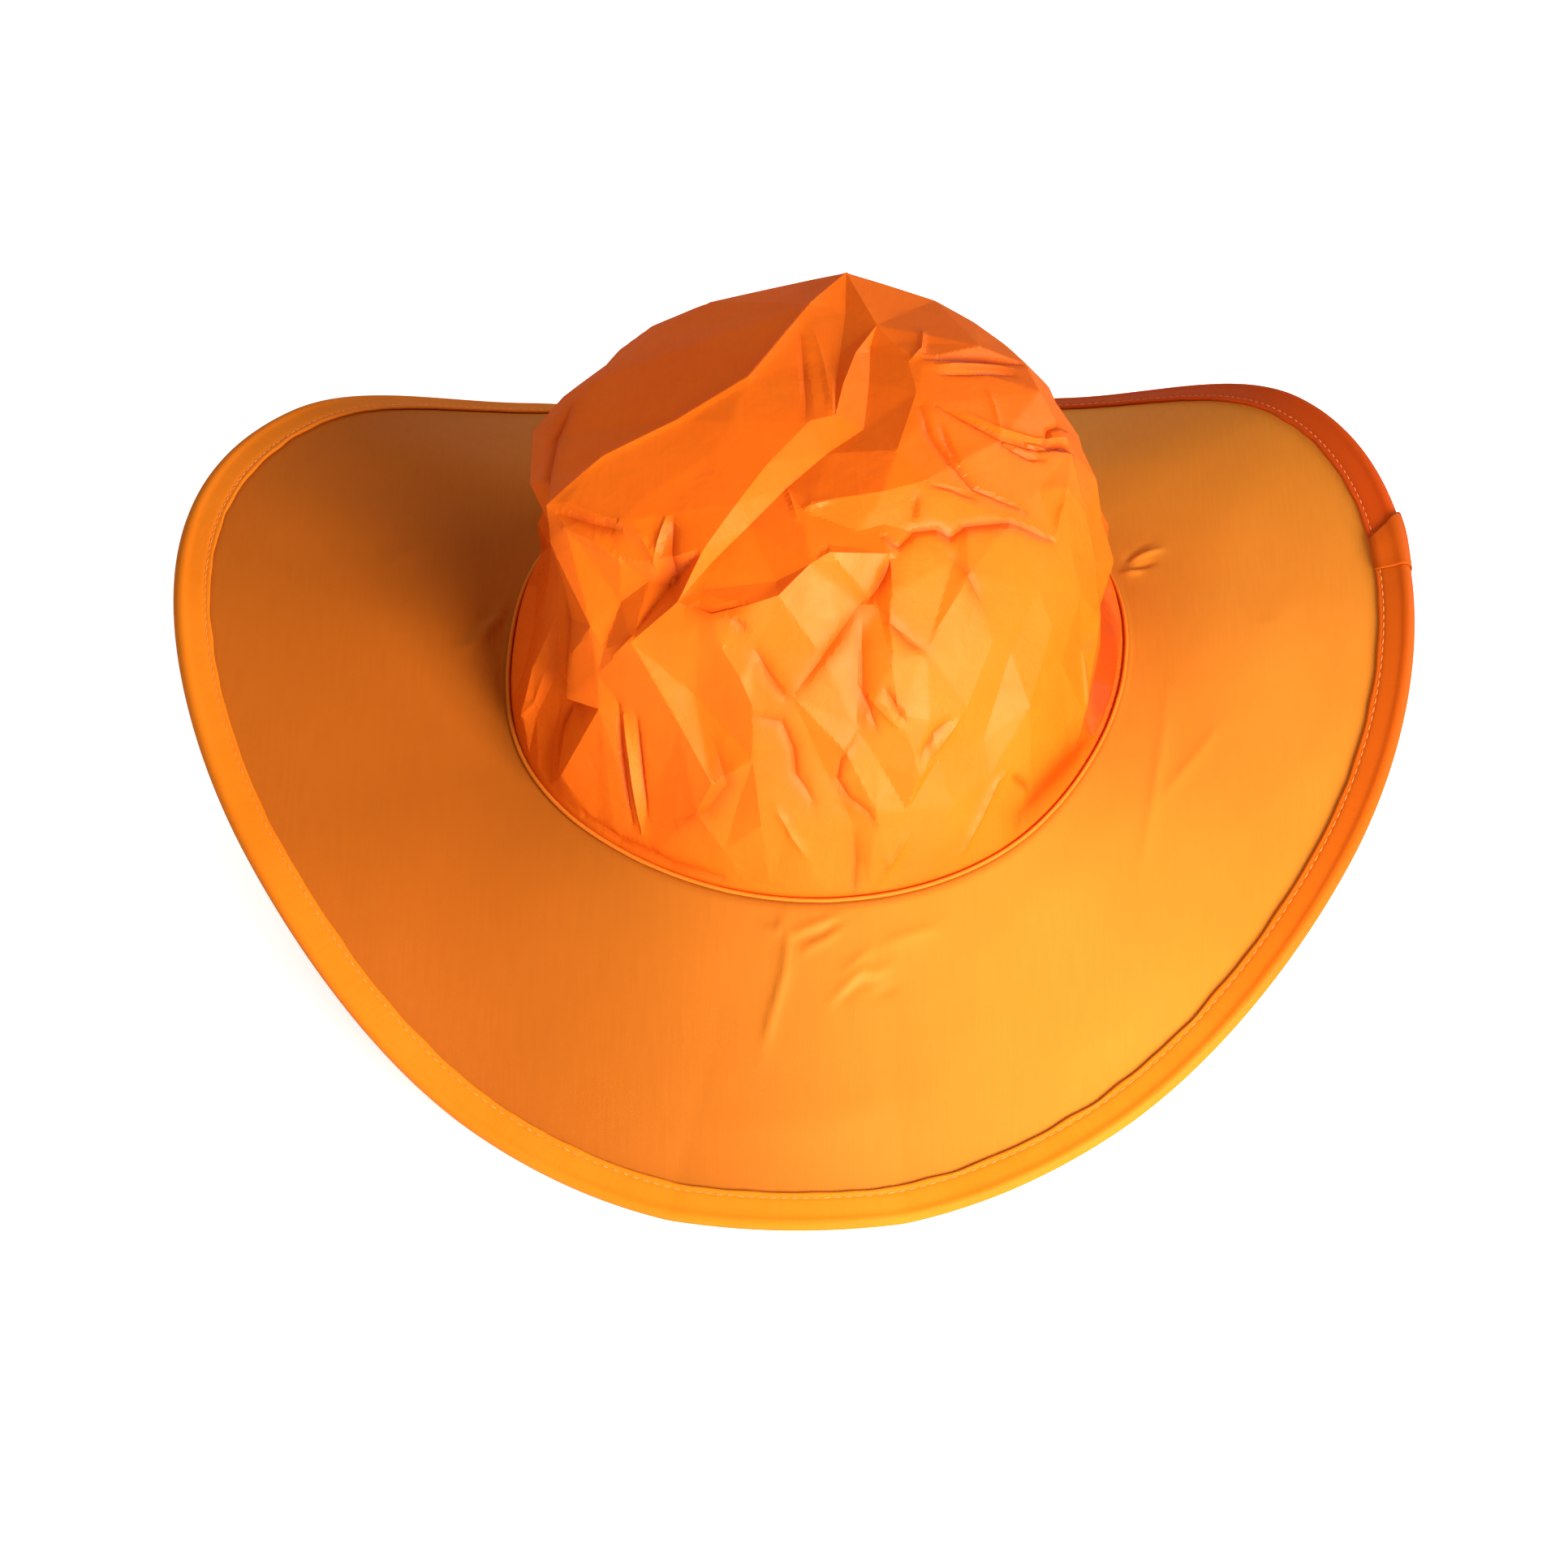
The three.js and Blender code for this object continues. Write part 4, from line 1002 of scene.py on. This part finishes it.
def stitchRow(name, loops, tree, values):  # loops are closed paths in millimetres
    points = np.concatenate(loops)
    edges, first = [], 0
    for loop in loops:
        n = len(loop)
        edges += [(first + i, first + (i + 1) % n) for i in range(n)]
        first += n
    mesh = bpy.data.meshes.new(name + "_path")
    mesh.from_pydata((points * mm).tolist(), edges, [])
    path = addObject(name + "_path", mesh)
    modifier = path.modifiers.new("stitches", "NODES")
    modifier.node_group = tree
    for socket in tree.interface.items_tree:
        if socket.in_out == "INPUT" and socket.name in values:
            modifier[socket.identifier] = values[socket.name]
    ready = path.evaluated_get(bpy.context.evaluated_depsgraph_get())
    made = bpy.data.meshes.new_from_object(ready)
    path.modifiers.remove(modifier)
    bpy.data.objects.remove(path)
    return addObject(name, made)


def makeStitches():
    turn = fullTurn(stitches["pathSteps"])
    x = np.full((len(turn), 1), flatEnd + binding["stitchIn"])
    high = tapeHalf - binding["groove"] + stitches["radius"] * (1 - stitches["sunk"])
    rows = [tapePoints(turn, x, np.full_like(x, side * high))[:, 0] for side in (1, -1)]
    rows[1][:, 2] = np.maximum(rows[1][:, 2], stitches["radius"])
    return stitchRow("binding_stitches", rows, stitchTree(), {
        "Pitch": stitches["pitch"] * mm, "Stitch Length": stitches["length"] * mm,
        "Thread Radius": stitches["radius"] * mm, "Uneven": stitches["uneven"], "Seed": stitches["seed"],
        "Thread": sewingThread})


bindingStitches = makeStitches()
print("stitches made", len(bindingStitches.data.polygons))


# Pieces ride on the hat's one body and stand for its solids
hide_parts("crown")
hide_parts("brim")
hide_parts("edge_binding")
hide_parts("binding_lap")
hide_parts("crown_seam")
slots = {crownCloth: "crown_fabric", brimCloth: "brim_fabric", bindingTape: "binding_tape",
         lapTape: "lap_tape", seamWelt: "seam_tape", bindingStitches: "binding_tape"}
for piece, slot in slots.items():
    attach(piece, "root")


# Studio: a pale floor, a soft key low at the front right, a light behind the right, a fill high at the left
studio = {"floor": "#FAFAF8", "floorSize": 12.0, "floorGlow": 0.7, "sky": "#FFFFFF", "skyStrength": 0.12,
          "aim": (0, 0, 0.06)}
lights = {
    "key": {"place": (0.43, -0.75, 0.36), "size": 0.5, "watts": 21.0, "colour": "#FFF8F0", "shines": True},
    "side": {"place": (0.655, 0.265, 0.436), "size": 0.5, "watts": 3.0, "colour": "#FFFFFF", "shines": True},
    "fill": {"place": (-0.5, 0.3, 0.85), "size": 0.7, "watts": 3.6, "colour": "#FFFFFF", "shines": False},
}


def areaLight(name, light):
    lamp = bpy.data.lights.new(name, "AREA")
    lamp.shape = "DISK"
    lamp.size = light["size"]
    lamp.energy = light["watts"]
    lamp.color = linear(light["colour"])[:3]
    stand = addObject(name, lamp)
    stand.location = light["place"]
    stand.rotation_euler = (Vector(studio["aim"]) - stand.location).to_track_quat("-Z", "Y").to_euler()
    stand.visible_camera = False
    stand.visible_glossy = light["shines"]  # whether the cloth's shine shows it


def makeFloor():  # matt white paper: an even bright ground with no glare
    material, tree = newMaterial("matt white paper")
    place = addNode(tree, "ShaderNodeTexCoord").outputs["Object"]
    grain = addNode(tree, "ShaderNodeTexNoise", {"Scale": 900.0}, {"Vector": place})
    rough = addNode(tree, "ShaderNodeMapRange", {"To Min": 0.85, "To Max": 0.95}, {"Value": grain})
    body = addNode(tree, "ShaderNodeBsdfPrincipled", {
        "Base Color": linear(studio["floor"]), "Emission Color": linear(studio["floor"]),
        "Emission Strength": studio["floorGlow"]}, {"Roughness": rough})
    addNode(tree, "ShaderNodeOutputMaterial", links={"Surface": body})
    half = studio["floorSize"] / 2 / mm
    corners = [(-half, -half, 0), (half, -half, 0), (half, half, 0), (-half, half, 0)]
    floor = makePiece("studio_floor", corners, [[0, 1, 2, 3]], material, smooth=False)
    floor.visible_glossy = False  # keeps its white out of the cloth's shine


makeFloor()
for name, light in lights.items():
    areaLight(name, light)
world = bpy.data.worlds.new("studio")
world.use_nodes = True
background = world.node_tree.nodes["Background"].inputs
background["Color"].default_value = linear(studio["sky"])
background["Strength"].default_value = studio["skyStrength"]
bpy.context.scene.world = world
bpy.context.scene.view_settings.view_transform = "Standard"

# Camera at the photograph's angle: 42 degrees above the floor, straight from the front
camera = {"climb": 42.0, "distance": 1.3, "target": (0, 0, 0.06), "lens": 100.16, "sensor": 36,
          "farthest": 50, "tiltDown": 1.854, "turnLeft": 0.2025}


def makeCamera():
    data = bpy.data.cameras.new("photo")
    data.sensor_width = camera["sensor"]
    data.lens = camera["lens"]
    data.clip_end = camera["farthest"]
    eye = addObject("photo", data)
    a = math.radians(camera["climb"])
    eye.location = Vector(camera["target"]) + camera["distance"] * Vector((0, -math.cos(a), math.sin(a)))
    eye.rotation_euler = Euler((math.radians(90 - camera["climb"] - camera["tiltDown"]), 0,
                                math.radians(camera["turnLeft"])))
    bpy.context.scene.camera = eye


makeCamera()
print("studio and camera made")
